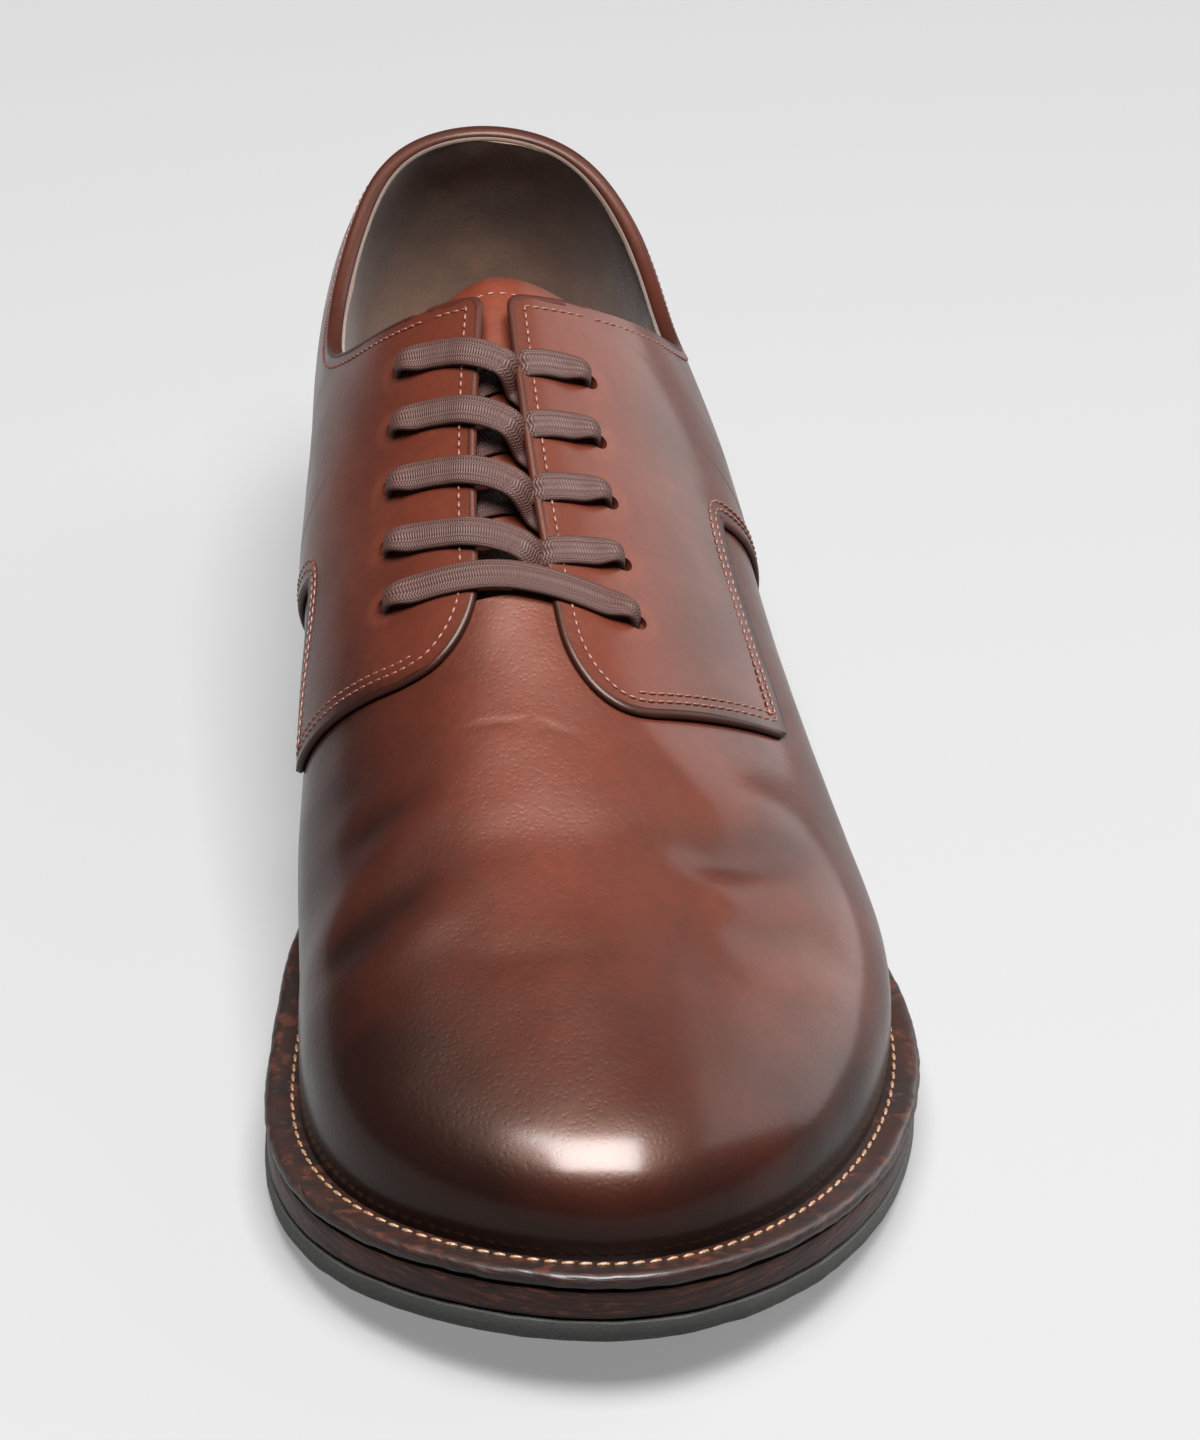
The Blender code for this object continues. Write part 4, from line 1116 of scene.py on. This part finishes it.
@dataclass
class Upper:
    """Vamp, quarters, collar binding, lining and their seams."""

    last: Last
    throat_end: float = -0.0215
    vamp_rear: float = 0.335
    edge_half: float = 0.0011
    edge_high: float = 0.0008
    binding_half: float = 0.0010
    stitch_in: float = 0.0022
    stitch_pitch: float = 0.0019
    stitch_length: float = 0.0017
    stitch_thick: float = 0.00058
    eyelet_rows: int = 5
    eyelet_top: float = 0.0290
    eyelet_front: float = -0.0190
    eyelet_half_top: float = 0.0165
    eyelet_half_front: float = 0.0215
    eyelet_skew: float = 0.27
    eyelet_radius: float = 0.0016
    fair_half: float = 0.026
    fair_long: float = 0.034
    fair_shift: float = 0.014
    fair_deep: float = 0.030
    fair_powers: int = 5
    fair_ring: tuple[float, float] = (0.75, 1.4)
    fair_edge: float = 1.15
    fair_blend: float = 0.5
    vamp_columns: tuple[int, int] = (60, 200)
    vamp_rows: int = 84
    vamp_overlap: float = 0.07
    edge_marks: int = 300
    edge_step: float = 0.0009
    edge_rounds: int = 6
    collar_marks: int = 700
    collar_start: float = 8.0
    quarter_columns: tuple[int, int, int, int] = (90, 50, 110, 70)
    quarter_rows: int = 76
    lining_front: float = -0.030
    lining_columns: int = 260
    lining_rows: int = 60
    lining_foot: float = 0.0032
    second_row: float = 0.0018
    drawn: dict[Side, tuple[Route, Route]] = field(default_factory=dict)

    def eyelet_spots(self, side: Side) -> tuple[np.ndarray, np.ndarray]:
        """Y and signed reach of the eyelets of one facing, from the top one."""
        part = np.linspace(0, 1, self.eyelet_rows)
        reaches = self.eyelet_half_top + (self.eyelet_half_front - self.eyelet_half_top) * part
        places = self.eyelet_top + (self.eyelet_front - self.eyelet_top) * part
        return places - self.eyelet_skew * side.value * reaches, side.value * reaches

    def outer_face(self) -> float:
        """Lift of the quarters' outer face."""
        return self.last.vamp_thick + self.last.quarter_step

    def faired(self, points: np.ndarray) -> np.ndarray:
        """Heights of the vamp's points, evened out over the instep where the columns meet."""
        last = self.last
        pole = last.skin(np.array([float(TOE)]), np.array([1.0]), last.vamp_thick)[0]
        across = (points[..., 0] - pole[0]) / self.fair_half
        along = (points[..., 1] - pole[1] + self.fair_shift) / self.fair_long
        away = np.hypot(across, along)
        high = points[..., 2] > pole[2] - self.fair_deep
        powers = [(i, j) for i in range(self.fair_powers) for j in range(self.fair_powers - i)]
        terms = np.stack([across**i * along**j for i, j in powers], axis=-1)
        near, far = self.fair_ring
        chosen = (away > near) & (away < far) & high
        shares = np.linalg.lstsq(terms[chosen], points[chosen][:, 2], rcond=None)[0]
        blend = ease((self.fair_edge - away) / self.fair_blend) * high
        return points[..., 2] + (terms @ shares - points[..., 2]) * blend

    def vamp(self) -> bpy.types.Object:
        """The vamp, from the toe to under the quarters, with its creases."""
        last = self.last
        start = float(last.around_at(last.place_of(self.vamp_rear)))
        throat = float(last.around_at(self.throat_end))
        back = np.linspace(start, throat, self.vamp_columns[0], endpoint=False)
        front = np.linspace(throat, TOE, self.vamp_columns[1])
        columns = np.concatenate([back, front])
        steps = np.linspace(0, 1, self.vamp_rows)
        middles = (steps[:-1] + steps[1:]) / 2
        halves, ways, kept = [], [], []
        for side in Side:
            around, rises = np.broadcast_arrays((columns * side.value % AROUND)[:, None], steps)
            halves.append(last.skin(around, rises, last.vamp_thick)[:, ::side.value])
            ways.append(last.normal(around, rises)[:, ::side.value])
            level = np.ones(len(columns))
            level[:len(back)] = last.quarter_floor(back * side.value) + self.vamp_overlap
            kept.append((middles < level[:-1, None])[:, ::side.value])
        points, ways = np.concatenate(halves, axis=1), np.concatenate(ways, axis=1)
        points[..., 2] = self.faired(points)
        lift = sum(fold.lift(points + last.centre) for fold in FOLDS)
        lift = lift + 0.00010 * ripple(points, 0.045, 5)
        points = points + ways * lift[..., None] * ease((points[..., 2:] - 0.018) / 0.01)
        crest = len(steps)
        crown = (points[:, crest - 1] + points[:, crest]) / 2
        crown[columns >= last.toe_fan] = crown[columns >= last.toe_fan].mean(axis=0)
        points[:, crest - 1] = points[:, crest] = crown
        keep = np.concatenate([kept[0], kept[0][:, :1] & False, kept[1]], axis=1)
        keep[len(back):, len(middles)] = True
        piece = sheet("vamp", points, ways, last.vamp_thick - 0.0001, keep)
        # The centre of a painted pool of light on the crown of the instep.
        crown = np.array([-0.008, -0.045, 0.07]) - last.centre

        # Darkness of the vamp: real burnish at the toe and mottling, painted shade low down, on the inner
        # side and in the creases, and a painted pool of light on the instep.
        def burnish_and_shade(spots: np.ndarray) -> np.ndarray:
            share = 0.5 - (spots[:, 1] + last.centre[1]) / last.foot_length
            rim = ease((0.045 - spots[:, 2]) / 0.022)
            toe = ease((share - 0.80) / 0.16)
            side = np.abs(spots[:, 0] + 0.004) / 0.05
            # Burnish darkens the toe; painted shade darkens the leather low on the sides, most towards the
            # toe.
            dark = 0.26 + 0.40 * toe + 0.34 * rim * (0.45 + 0.55 * ease((share - 0.7) / 0.2))
            # Painted shade on the inner side, where no light falls.
            dark += 0.42 * ease((-0.008 - spots[:, 0]) / 0.032)
            # Darker towards both sides, partly burnish and partly painted shade, and lighter on the instep:
            # a painted pool of light.
            dark += 0.16 * ease((side - 0.45) / 0.5) - 0.10 * np.exp(-(np.linalg.norm(
                spots - crown, axis=1) / 0.03) ** 2)
            # Painted shade in the creases' troughs and painted light on their raised lips.
            crease = -sum(fold.lift(spots + last.centre) for fold in FOLDS) / 0.0004
            return dark + 0.13 * np.clip(crease, -0.5, 1.2) + 0.05 * ripple(spots, 0.05, 9)
        mark_points(piece, "burnish_and_shade", burnish_and_shade)
        # A painted pool of warm light on the crown of the instep.
        mark_points(piece, "warmth_and_light", lambda spots: np.clip(
            0.35 - np.linalg.norm((spots - crown) * (0.7, 0.6, 1), axis=1) / 0.08, 0, 1))
        return piece

    def rims(self, side: Side) -> tuple[Route, Route]:
        """One side's quarter edge, from the sole over the notch to the facing's top, and its collar."""
        if side in self.drawn:
            return self.drawn[side]
        last = self.last
        marks = last.quarter_marks(side)
        front = marks[-1]
        low_columns = np.unique(np.concatenate([
            np.linspace(start, end, self.edge_marks) for start, end in zip(marks, marks[1:])]))
        high_columns = np.concatenate([
            np.linspace(front, self.collar_start, self.edge_marks, endpoint=False),
            np.linspace(self.collar_start, 0, self.collar_marks)])
        columns = np.concatenate([low_columns, high_columns])
        rises = np.concatenate([
            last.quarter_floor(low_columns * side.value), last.top_rise(high_columns * side.value)])
        around = columns * side.value % AROUND
        lift = self.outer_face() - self.edge_high
        route = Route(last.skin(around, rises, lift), last.normal(around, rises))
        corner_mark = float(last.around_at(last.facing_top + 0.004))
        split = len(low_columns) + int(np.argmax(high_columns < corner_mark))
        facing = Route(route.points[:split], route.normals[:split])
        facing = facing.spaced(self.edge_step).smooth(self.edge_rounds)
        collar = Route(route.points[split - 1:], route.normals[split - 1:])
        self.drawn[side] = (facing, collar)
        return facing, collar

    def quarter(self, side: Side, pins: bpy.types.Object) -> bpy.types.Object:
        """One quarter with its punched eyelet holes."""
        last = self.last
        marks = [0.0, *last.quarter_marks(side)]
        columns = np.unique(np.concatenate([
            np.linspace(*ends) for ends in zip(marks, marks[1:], self.quarter_columns)]))
        low, high = last.quarter_floor(columns * side.value), last.top_rise(columns * side.value)
        rises = low[:, None] + (high - low)[:, None] * np.linspace(0, 1, self.quarter_rows)
        around = (columns * side.value % AROUND)[:, None] + np.zeros_like(rises)
        points = last.skin(around, rises, self.outer_face())
        ways = last.normal(around, rises)
        points = points + ways * (0.00010 * ripple(points, 0.05, 21))[..., None]
        name = f"quarter_{side.name.lower()}"
        piece = sheet(name, points, ways, last.quarter_step - 0.0001)
        cut = piece.modifiers.new("eyelets", "BOOLEAN")
        cut.object, cut.operation, cut.solver = pins, "DIFFERENCE", "EXACT"
        depsgraph = bpy.context.evaluated_depsgraph_get()
        mesh = bpy.data.meshes.new_from_object(piece.evaluated_get(depsgraph))
        piece.modifiers.clear()
        piece.data = mesh
        facing, collar = self.rims(side)
        edge = np.vstack([facing.points[::3], collar.points[::12]])
        holes = self.last.over(*self.eyelet_spots(side), self.outer_face())

        # Darkness of a quarter: dark cut edges and mottling, painted shade low down and towards the sides,
        # and a lighter ring round each eyelet.
        def burnish_and_shade(spots: np.ndarray) -> np.ndarray:
            dark = 0.30 + 0.62 * np.exp(-(near_line(spots, edge) / 0.0022) ** 2)
            # Painted shade low on the sides.
            dark += 0.30 * ease((0.045 - spots[:, 2]) / 0.03)
            # Darker towards the sides, partly burnish and partly painted shade.
            dark += 0.18 * ease((np.abs(spots[:, 0] + 0.008) - 0.028) / 0.02)
            halo = near_line(spots, holes)
            dark -= 0.35 * np.exp(-((halo - 0.0030) / 0.0012) ** 2)
            return dark + 0.06 * ripple(spots, 0.04, 31)
        mark_points(piece, "burnish_and_shade", burnish_and_shade)
        # Painted warm light on the quarters' tops near the instep.
        mark_points(piece, "warmth_and_light", lambda spots: 0.75 * ease(
            (0.034 - np.abs(spots[:, 0] + 0.008)) / 0.02) * ease((spots[:, 2] - 0.05) / 0.02))
        return piece

    def pins(self) -> bpy.types.Object:
        """Pins that punch the eyelets, not part of the shoe."""
        shape = bmesh.new()
        for side in Side:
            places, reaches = self.eyelet_spots(side)
            low = self.last.over(places, reaches, 0.0005)
            high = self.last.over(places, reaches, 0.0060)
            for start, end in zip(low, high):
                axis = Vector(end) - Vector(start)
                turn = axis.to_track_quat("Z", "Y").to_matrix().to_4x4()
                turn.translation = (Vector(start) + Vector(end)) / 2
                bmesh.ops.create_cone(shape, cap_ends=True, segments=20, radius1=self.eyelet_radius,
                                      radius2=self.eyelet_radius, depth=axis.length, matrix=turn)
        return add_object("eyelet_pins", bake_mesh("eyelet_pins", shape))

    def lining(self) -> bpy.types.Object:
        """The suede lining of the collar and the quarters."""
        last = self.last
        reach = float(last.around_at(self.lining_front))
        columns = np.linspace(-reach, reach, self.lining_columns)
        low = last.rise_at_height(columns % AROUND, self.lining_foot)
        high = last.top_rise(columns)
        rises = low[:, None] + (high - low)[:, None] * np.linspace(0, 1, self.lining_rows)
        around = (columns % AROUND)[:, None] + np.zeros_like(rises)
        points = last.skin(around, rises, 0.0002)
        ways = last.normal(around, rises)
        points = points + ways * (0.0002 * ripple(points, 0.03, 41) - 0.0003)[..., None]
        return sheet("lining", points, ways, 0.0007)

    def binding(self) -> tuple[bpy.types.Object, bpy.types.Object]:
        """The rolled collar binding, and the lip of lining inside it."""
        _, outer = self.rims(Side.OUTER)
        _, inner = self.rims(Side.INNER)
        points = np.vstack([outer.points[:-1], inner.points[::-1]])
        normals = np.vstack([outer.normals[:-1], inner.normals[::-1]])
        route = Route(points, normals).spaced(0.0012).smooth(8)
        roll = sweep("collar_binding", route.shifted(0, -0.0007), ring(self.binding_half, 0.0016, 16, 0.85),
                     taper=0.003)
        lip = sweep("lining_lip", route.shifted(0, -0.0024), ring(0.0006, 0.00045, 8), taper=0.002)
        return roll, lip

    def back_seam(self) -> Route:
        """The seam at the back of the heel."""
        last = self.last
        top = float(last.top_rise(np.array([0.0]))[0])
        rises = np.linspace(0.10, top - 0.02, 60)
        around = np.zeros(len(rises))
        return Route(last.skin(around, rises, self.outer_face()), last.normal(around, rises))

    def build(self, calf: Calf, rim: Calf, suede: Suede, lip: Suede, thread: Thread) -> None:
        """Make and dress every piece of the upper."""
        leather, edge, cloth, twist = calf.make(), rim.make(), suede.make(), thread.make()
        pins = self.pins()
        vamp = self.vamp()
        dress(vamp, leather)
        pieces = [vamp]
        rows: list[Route] = []
        for side in Side:
            quarter = self.quarter(side, pins)
            dress(quarter, leather)
            facing, collar = self.rims(side)
            profile = ring(self.edge_half, self.edge_high, 12)
            bead = sweep(f"facing_edge_{side.name.lower()}", facing, profile, taper=0.003)
            mark_points(bead, "burnish_and_shade", lambda spots: 0.45 + 0.5 * ease((-0.014 - spots[:, 1]) / 0.01))
            mark_points(bead, "warmth_and_light", even(0.0))
            dress(bead, edge)
            pieces += [quarter, bead]
            inward = -side.value
            seam = facing.part(0.004, -0.004)
            rows.append(seam.shifted(inward * self.stitch_in, self.edge_high))
            lower = float(np.argmin(facing.points[:, 1])) * self.edge_step
            wing = facing.part(0.020, lower - 0.002)
            rows.append(wing.shifted(inward * (self.stitch_in + self.second_row), self.edge_high))
            rows.append(collar.spaced(0.002).shifted(inward * self.stitch_in, self.edge_high))
        seam = self.back_seam()
        rows += [seam.shifted(0.0016, 0), seam.shifted(-0.0016, 0)]
        stitches = sew("upper_stitches", rows, self.stitch_pitch, self.stitch_length, self.stitch_thick)
        dress(stitches, twist)
        roll, inner_lip = self.binding()
        mark_points(roll, "burnish_and_shade", even(0.62))
        mark_points(roll, "warmth_and_light", even(0.0))
        dress(roll, edge)
        dress(inner_lip, lip.make())
        lining = self.lining()
        dress(lining, cloth)
        bpy.data.objects.remove(pins, do_unlink=True)
        for piece in pieces + [stitches, roll, inner_lip, lining]:
            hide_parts("upper")


@dataclass
class Tongue:
    """The tongue and the row of stitches along its top."""

    last: Last
    front: float = -0.040
    top: float = 0.0460
    round_off: float = 0.0060
    half_front: float = 0.020
    half_top: float = 0.027
    thick: float = 0.0018
    deep: float = 0.0023
    dip_start: float = -0.030
    dip_length: float = 0.006

    def depth(self, place: np.ndarray) -> np.ndarray:
        """How far the tongue lies under the skin at a Y."""
        part = ease((place - self.dip_start) / self.dip_length)
        return self.last.gap + (self.deep - self.last.gap) * part

    def build(self, calf: Calf, thread: Thread) -> None:
        """Make and dress the tongue."""
        part = np.linspace(0, 1, 90)[:, None]
        side = np.linspace(-1, 1, 60)[None, :]
        place = self.front + (self.top - self.front) * part - self.round_off * side**4 * part**6
        half = self.half_front + (self.half_top - self.half_front) * part
        around, rise = self.last.over_marks(place, half * side)
        points = self.last.skin(around, rise, -self.depth(place))
        ways = self.last.normal(around, rise)
        piece = sheet("tongue_leather", points, ways, self.thick)
        edge = Route(points[-1], ways[-1])
        mark_points(piece, "burnish_and_shade", lambda spots: 0.28 + 0.4 * np.exp(-(near_line(
            spots, edge.points) / 0.0018) ** 2) + 0.05 * ripple(spots, 0.03, 51))
        mark_points(piece, "warmth_and_light", even(0.5))
        dress(piece, calf.make())
        row = Route(points[-5, 4:-4], ways[-5, 4:-4])
        stitches = sew("tongue_stitches", [row], 0.0024, 0.0019, 0.00055)
        dress(stitches, thread.make())
        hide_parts("tongue")
        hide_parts("tongue")


LACE_RISE = ((0, 0.0010, 0.0026, 0.0050, 0.0080), (-0.0020, 0.0002, 0.0013, 0.0005, 0.0))


@dataclass
class Lacing:
    """The flat lace: a bar over the front eyelets and a crossing strip from every other one."""

    upper: Upper
    width: float = 0.0061
    thick: float = 0.0015
    tuck: float = 0.0034
    step: float = 0.0004
    crossing: float = 0.0006
    narrow: float = 0.58

    def strip(self, name: str, start: np.ndarray, finish: np.ndarray, both: bool,
              order: float) -> bpy.types.Object:
        """One strip of lace.

        Args:
            name: Name of the piece.
            start: Y and signed reach of the eyelet it comes out of.
            finish: Y and signed reach of its other end.
            both: Whether it goes into an eyelet at both ends.
            order: Extra lift where it crosses the other strip.

        Returns:
            The piece.
        """
        last = self.upper.last
        length = float(np.linalg.norm(finish - start))
        count = int(length / self.step)
        share = np.linspace(0, 1, count)
        line = start + (finish - start) * share[:, None]
        line[:, 0] += 0.0006 * np.sin(share * 5 + start[1] * 400)
        around, rise = last.over_marks(line[:, 0], line[:, 1])
        ways = last.normal(around, rise)
        ground = self.upper.outer_face() + self.thick * 0.45
        run = share * length
        lift = ground + spline(*LACE_RISE, run)
        if both:
            lift = lift + spline(*LACE_RISE, length - run)
        else:
            half = float(last.gap_half(start[0]))
            across = np.sign(start[1]) * line[:, 1]
            deep = -self.thick * 0.5 - 0.0004
            lift = lift + order * 0.8 * ease((half + 0.005 - across) / 0.004)
            turn = -0.2 * half if order > 0 else half + 0.0016
            lift = lift + (deep - ground) * ease((turn - across) / (half + 0.0006))
        points = last.skin(around, rise, lift)
        flat = Route(last.skin(around, rise, ground), ways).across
        path = Route(points, ways)
        normals = np.cross(path.tangents, flat)
        normals *= np.sign((normals * ways).sum(axis=1, keepdims=True)) + 1e-9
        normals[0], normals[-1] = normals[1], normals[-2]
        normals /= np.linalg.norm(normals, axis=1, keepdims=True)
        ends = np.minimum(run, length - run) if both else run
        widths = self.narrow + (1 - self.narrow) * ease(ends / 0.006)
        profile = ring(self.width / 2, self.thick / 2, 18, 0.62)
        return sweep(name, Route(points, normals), profile, widths)

    def build(self, cotton: WaxedCotton) -> None:
        """Make and dress every strip."""
        material = cotton.make()
        spots = {side: np.column_stack(self.upper.eyelet_spots(side)) for side in Side}
        bar = self.strip("lace_front_bar", spots[Side.INNER][-1], spots[Side.OUTER][-1], True, 0.0)
        dress(bar, material)
        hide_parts("lace_bar")
        last = self.upper.last
        for row in range(self.upper.eyelet_rows - 1):
            for side in Side:
                other = Side.INNER if side is Side.OUTER else Side.OUTER
                start, target = spots[side][row], spots[other][row + 1]
                edge = float(last.gap_half(start[0])) + self.tuck
                share = (abs(start[1]) + edge) / abs(target[1] - start[1])
                order = self.crossing if side is Side.INNER else -self.crossing
                finish = start + (target - start) * share
                piece = self.strip(f"lace_{side.name.lower()}_{row + 1}", start, finish, False, order)
                dress(piece, material)
                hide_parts(f"lace_crossing_{row + 1}")


@dataclass
class Sole:
    """Welt, midsole and rubber outsole, each a band drawn round the shoe, and the insole."""

    last: Last
    welt_thick: float = 0.0032
    columns: int = 1100
    stitch_pitch: float = 0.0030

    def around(self) -> np.ndarray:
        """Section numbers at even steps round the welt."""
        fine = np.linspace(0, AROUND, 6001)
        outline = self.last.rim(fine, self.last.sole_reach(fine))
        lengths = np.concatenate([[0], np.cumsum(np.linalg.norm(np.diff(outline, axis=0), axis=1))])
        return np.interp(np.linspace(0, lengths[-1], self.columns + 1), lengths, fine)[:-1]

    def band(self, name: str, profile: Sequence[tuple[float, float]], base: Field, rough: float,
             seed: int, capped: bool) -> bpy.types.Object:
        """A layer of the sole.

        Args:
            name: Name of the piece.
            profile: Inset from the welt's edge and height over the base, from inside round the edge.
            base: Height of the layer's underside at a Y.
            rough: How uneven its outline is.
            seed: Which unevenness.
            capped: Whether the band closes to a full plate.

        Returns:
            The piece.
        """
        around = self.around()
        reach = self.last.sole_reach(around)
        loops = []
        for inset, height in profile:
            plan = self.last.rim(around, reach - inset)
            level = base(plan[:, 1] + self.last.centre[1]) + height
            loops.append(np.column_stack([plan, level]))
        points = np.array(loops)
        middle = points.mean(axis=(0, 1))
        away = points - middle
        away[..., 2] = 0
        away /= np.linalg.norm(away, axis=-1, keepdims=True)
        edge = np.array([max(0.0, 1 - inset / 0.003) for inset, _ in profile])[:, None]
        points = points - away * (rough * edge * (0.5 + 0.5 * ripple(points, 0.012, seed)))[..., None]
        points[..., 2] += rough * 0.5 * edge * ripple(points, 0.009, seed + 1)
        points[..., 2] = np.maximum(points[..., 2], base(points[..., 1] + self.last.centre[1]))
        points = np.concatenate([points, points[:, :1]], axis=1)
        if not capped:
            points = np.concatenate([points, points[:1]])
        piece = place_grid(name, points)
        return close_ends(piece) if capped else piece

    def insole(self) -> bpy.types.Object:
        """The sock inside the shoe, slightly dished."""
        around = np.linspace(0, AROUND, 361)
        loops = []
        rim = self.last.rim(around, -self.last.gap)
        spine = np.column_stack([np.interp(rim[:, 1], [-0.14, 0.14], [0.004, 0.0]), rim[:, 1] * 0.96])
        for share, height in ((0.0, 0.0), (0.0, 0.0024), (0.02, 0.0030), (0.10, 0.0030), (0.4, 0.0026),
                              (0.7, 0.0024), (1.0, 0.0024)):
            plan = rim + (spine - rim) * share
            level = self.last.foot_height(plan[:, 1] + self.last.centre[1]) + height
            loops.append(np.column_stack([plan, level]))
        return place_grid("sock", np.array(loops))

    def build(self, edge: Edge, welt: Edge, rubber: Rubber, sock: Calf, thread: Thread) -> None:
        """Make and dress the layers."""
        last, thick = self.last, self.welt_thick
        step = 0.0005
        welt_profile = [(0.0074, 0.0002), (0.0074, thick), (0.0040, thick), (0.0020, thick),
                        (0.0009, thick - 0.0001), (0.0003, thick - 0.0006), (0.0, thick - 0.0014),
                        (0.0002, 0.0006), (0.0008, 0.0001), (0.0040, 0.0001)]
        body = self.band("welt_strip", welt_profile, last.foot_height, 0.00035, 3, False)
        dress(body, welt.make())
        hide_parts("welt")
        high = last.midsole_thick
        middle_profile = [(0.012, high), (step + 0.0012, high), (step + 0.0003, high - 0.0003),
                          (step, high - 0.0012), (step, high * 0.66),
                          (step + 0.0001, high * 0.33), (step, 0.0012),
                          (step + 0.0003, 0.0003), (step + 0.0012, 0.0), (0.012, 0.0)]
        middle = self.band("midsole_edge", middle_profile, last.midsole_base, 0.00015, 7, True)
        dress(middle, edge.make())
        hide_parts("midsole")
        base = last.outsole_thick
        tread_profile = [(0.012, base), (0.0012, base), (0.0004, base - 0.0003),
                         (0.0002, base - 0.0010), (0.0002, base * 0.5), (0.0003, 0.0012),
                         (0.0006, 0.0004), (0.0012, 0.0), (0.012, 0.0)]
        tread = self.band("rubber_edge", tread_profile, last.tread_height, 0.0002, 11, True)
        dress(tread, rubber.make())
        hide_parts("outsole")
        around = self.around()
        reach = last.sole_reach(around)
        plan = last.rim(around, np.maximum(reach - 0.0050, 0.0024))
        level = last.foot_height(plan[:, 1] + last.centre[1]) + thick + 0.0001
        route = Route(np.column_stack([plan, level]), np.tile((0.0, 0.0, 1.0), (len(plan), 1)), True)
        stitches = sew("welt_stitches", [route], self.stitch_pitch, 0.0025, 0.00075, 0.10)
        dress(stitches, thread.make())
        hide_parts("welt")
        insole = self.insole()
        mark_points(insole, "burnish_and_shade", lambda spots: 0.25 + 0.05 * ripple(spots, 0.03, 61))
        mark_points(insole, "warmth_and_light", even(0.3))
        dress(insole, sock.make())
        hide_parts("insole")


@dataclass
class Studio:
    """Floor, lights and the camera, which looks as the photograph does."""

    last: Last
    focal: float = 2735.62
    place: tuple[float, float, float] = (-0.10016, -0.7468, 0.54843)
    yaw: float = -0.04809
    pitch: float = 0.58702
    zoom: float = 1.72
    aim: tuple[float, float] = (828.0, 752.0)
    frame_size: tuple[float, float] = (1200.0, 1440.0)
    sensor: float = 36.0
    floor_tone: tuple[int, int, int] = (84, 84, 84)
    floor_glow: float = 0.26

    def camera(self) -> None:
        """The camera, turned from the photo's middle to the one shoe."""
        data = bpy.data.cameras.new("camera")
        wide, high = self.frame_size
        data.sensor_width = self.sensor
        data.sensor_fit = "AUTO"
        away = Vector(((self.aim[0] - wide / 2) / self.focal, (high / 2 - self.aim[1]) / self.focal, -1.0))
        data.lens = self.focal * self.zoom * self.sensor / high * away.length
        data.clip_start = 0.01
        camera = add_object("camera", data)
        camera.location = Vector(self.place) - Vector(self.last.centre)
        level = Euler((math.pi / 2 - self.pitch, 0.0, self.yaw)).to_quaternion()
        turn = Vector((0.0, 0.0, -1.0)).rotation_difference(away)
        camera.rotation_euler = (level @ turn).to_euler()
        bpy.context.scene.camera = camera

    def area(self, name: str, place: tuple[float, float, float], aim: tuple[float, float, float],
             size: tuple[float, float], power: float) -> None:
        """A soft box."""
        data = bpy.data.lights.new(name, "AREA")
        data.shape = "RECTANGLE"
        data.size, data.size_y = size
        data.energy = power
        light = add_object(name, data)
        light.location = place
        light.rotation_euler = (Vector(aim) - Vector(place)).to_track_quat("-Z", "Y").to_euler()

    def build(self) -> None:
        """Make the stage."""
        self.camera()
        shape = bmesh.new()
        bmesh.ops.create_grid(shape, x_segments=1, y_segments=1, size=6.0)
        mesh = bake_mesh("floor", shape)
        floor = add_object("floor", mesh)
        material, _, shader = new_material("floor_paper")
        shader.inputs["Base Color"].default_value = colour(*self.floor_tone)
        shader.inputs["Roughness"].default_value = 0.9
        shader.inputs["Specular IOR Level"].default_value = 0.1
        shader.inputs["Emission Color"].default_value = (1.0, 1.0, 1.0, 1.0)
        shader.inputs["Emission Strength"].default_value = self.floor_glow
        mesh.materials.append(material)
        self.area("overhead_box", (0.0, -0.33, 1.50), (0.0, -0.05, 0.0), (0.95, 0.68), 150.0)
        self.area("outer_box", (1.2, 0.5, 0.7), (0.0, 0.0, 0.05), (1.2, 1.4), 24.0)
        world = bpy.data.worlds.new("studio")
        bpy.context.scene.world = world
        world.use_nodes = True
        back = world.node_tree.nodes["Background"]
        back.inputs["Color"].default_value = (0.86, 0.87, 0.88, 1.0)
        back.inputs["Strength"].default_value = 0.19
        bpy.context.scene.view_settings.view_transform = "Standard"


def main() -> None:
    """Build the shoe in order."""
    logging.basicConfig(level=logging.INFO, format="%(message)s")
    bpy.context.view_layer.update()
    last = Last()
    Studio(last).build()
    calf = Calf("burnished_calf")
    rim = Calf("edge_calf", dark=(18, 6, 4), coat=0.10, coat_rough=0.2, rough=0.5)
    thread = Thread("tan_thread", (84, 36, 18), (48, 20, 10))
    upper = Upper(last)
    upper.build(calf, rim, Suede("brown_suede"), Suede("lip_suede", (76, 59, 48), (52, 38, 29)), thread)
    Tongue(last).build(Calf("tongue_calf", (76, 31, 20), (58, 23, 14), coat=0.12), thread)
    Lacing(upper).build(WaxedCotton("waxed_lace"))
    welt = Edge("welt_edge_leather", (34, 16, 11), (10, 4, 3), (54, 26, 17), coat=0.16)
    welt_thread = Thread("welt_thread", (112, 82, 56), (70, 46, 29))
    Sole(last).build(
        Edge("midsole_edge_leather"), welt, Rubber("tread_rubber"), Calf("sock_calf", coat=0.2), welt_thread)
    heel = Edge("heel_edge_leather", (36, 18, 13), (17, 8, 7)).make()
    for node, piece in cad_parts.items():
        if node.startswith("heel_lift"):
            dress_node(piece, heel)
        elif node == "heel_top_piece":
            dress_node(piece, Rubber("top_piece_rubber").make())


def dress_node(piece: bpy.types.Object, material: bpy.types.Material) -> None:
    """Give a CAD node a better finish."""
    for slot in piece.material_slots:
        slot.material = material


if __name__ == "__main__":
    main()
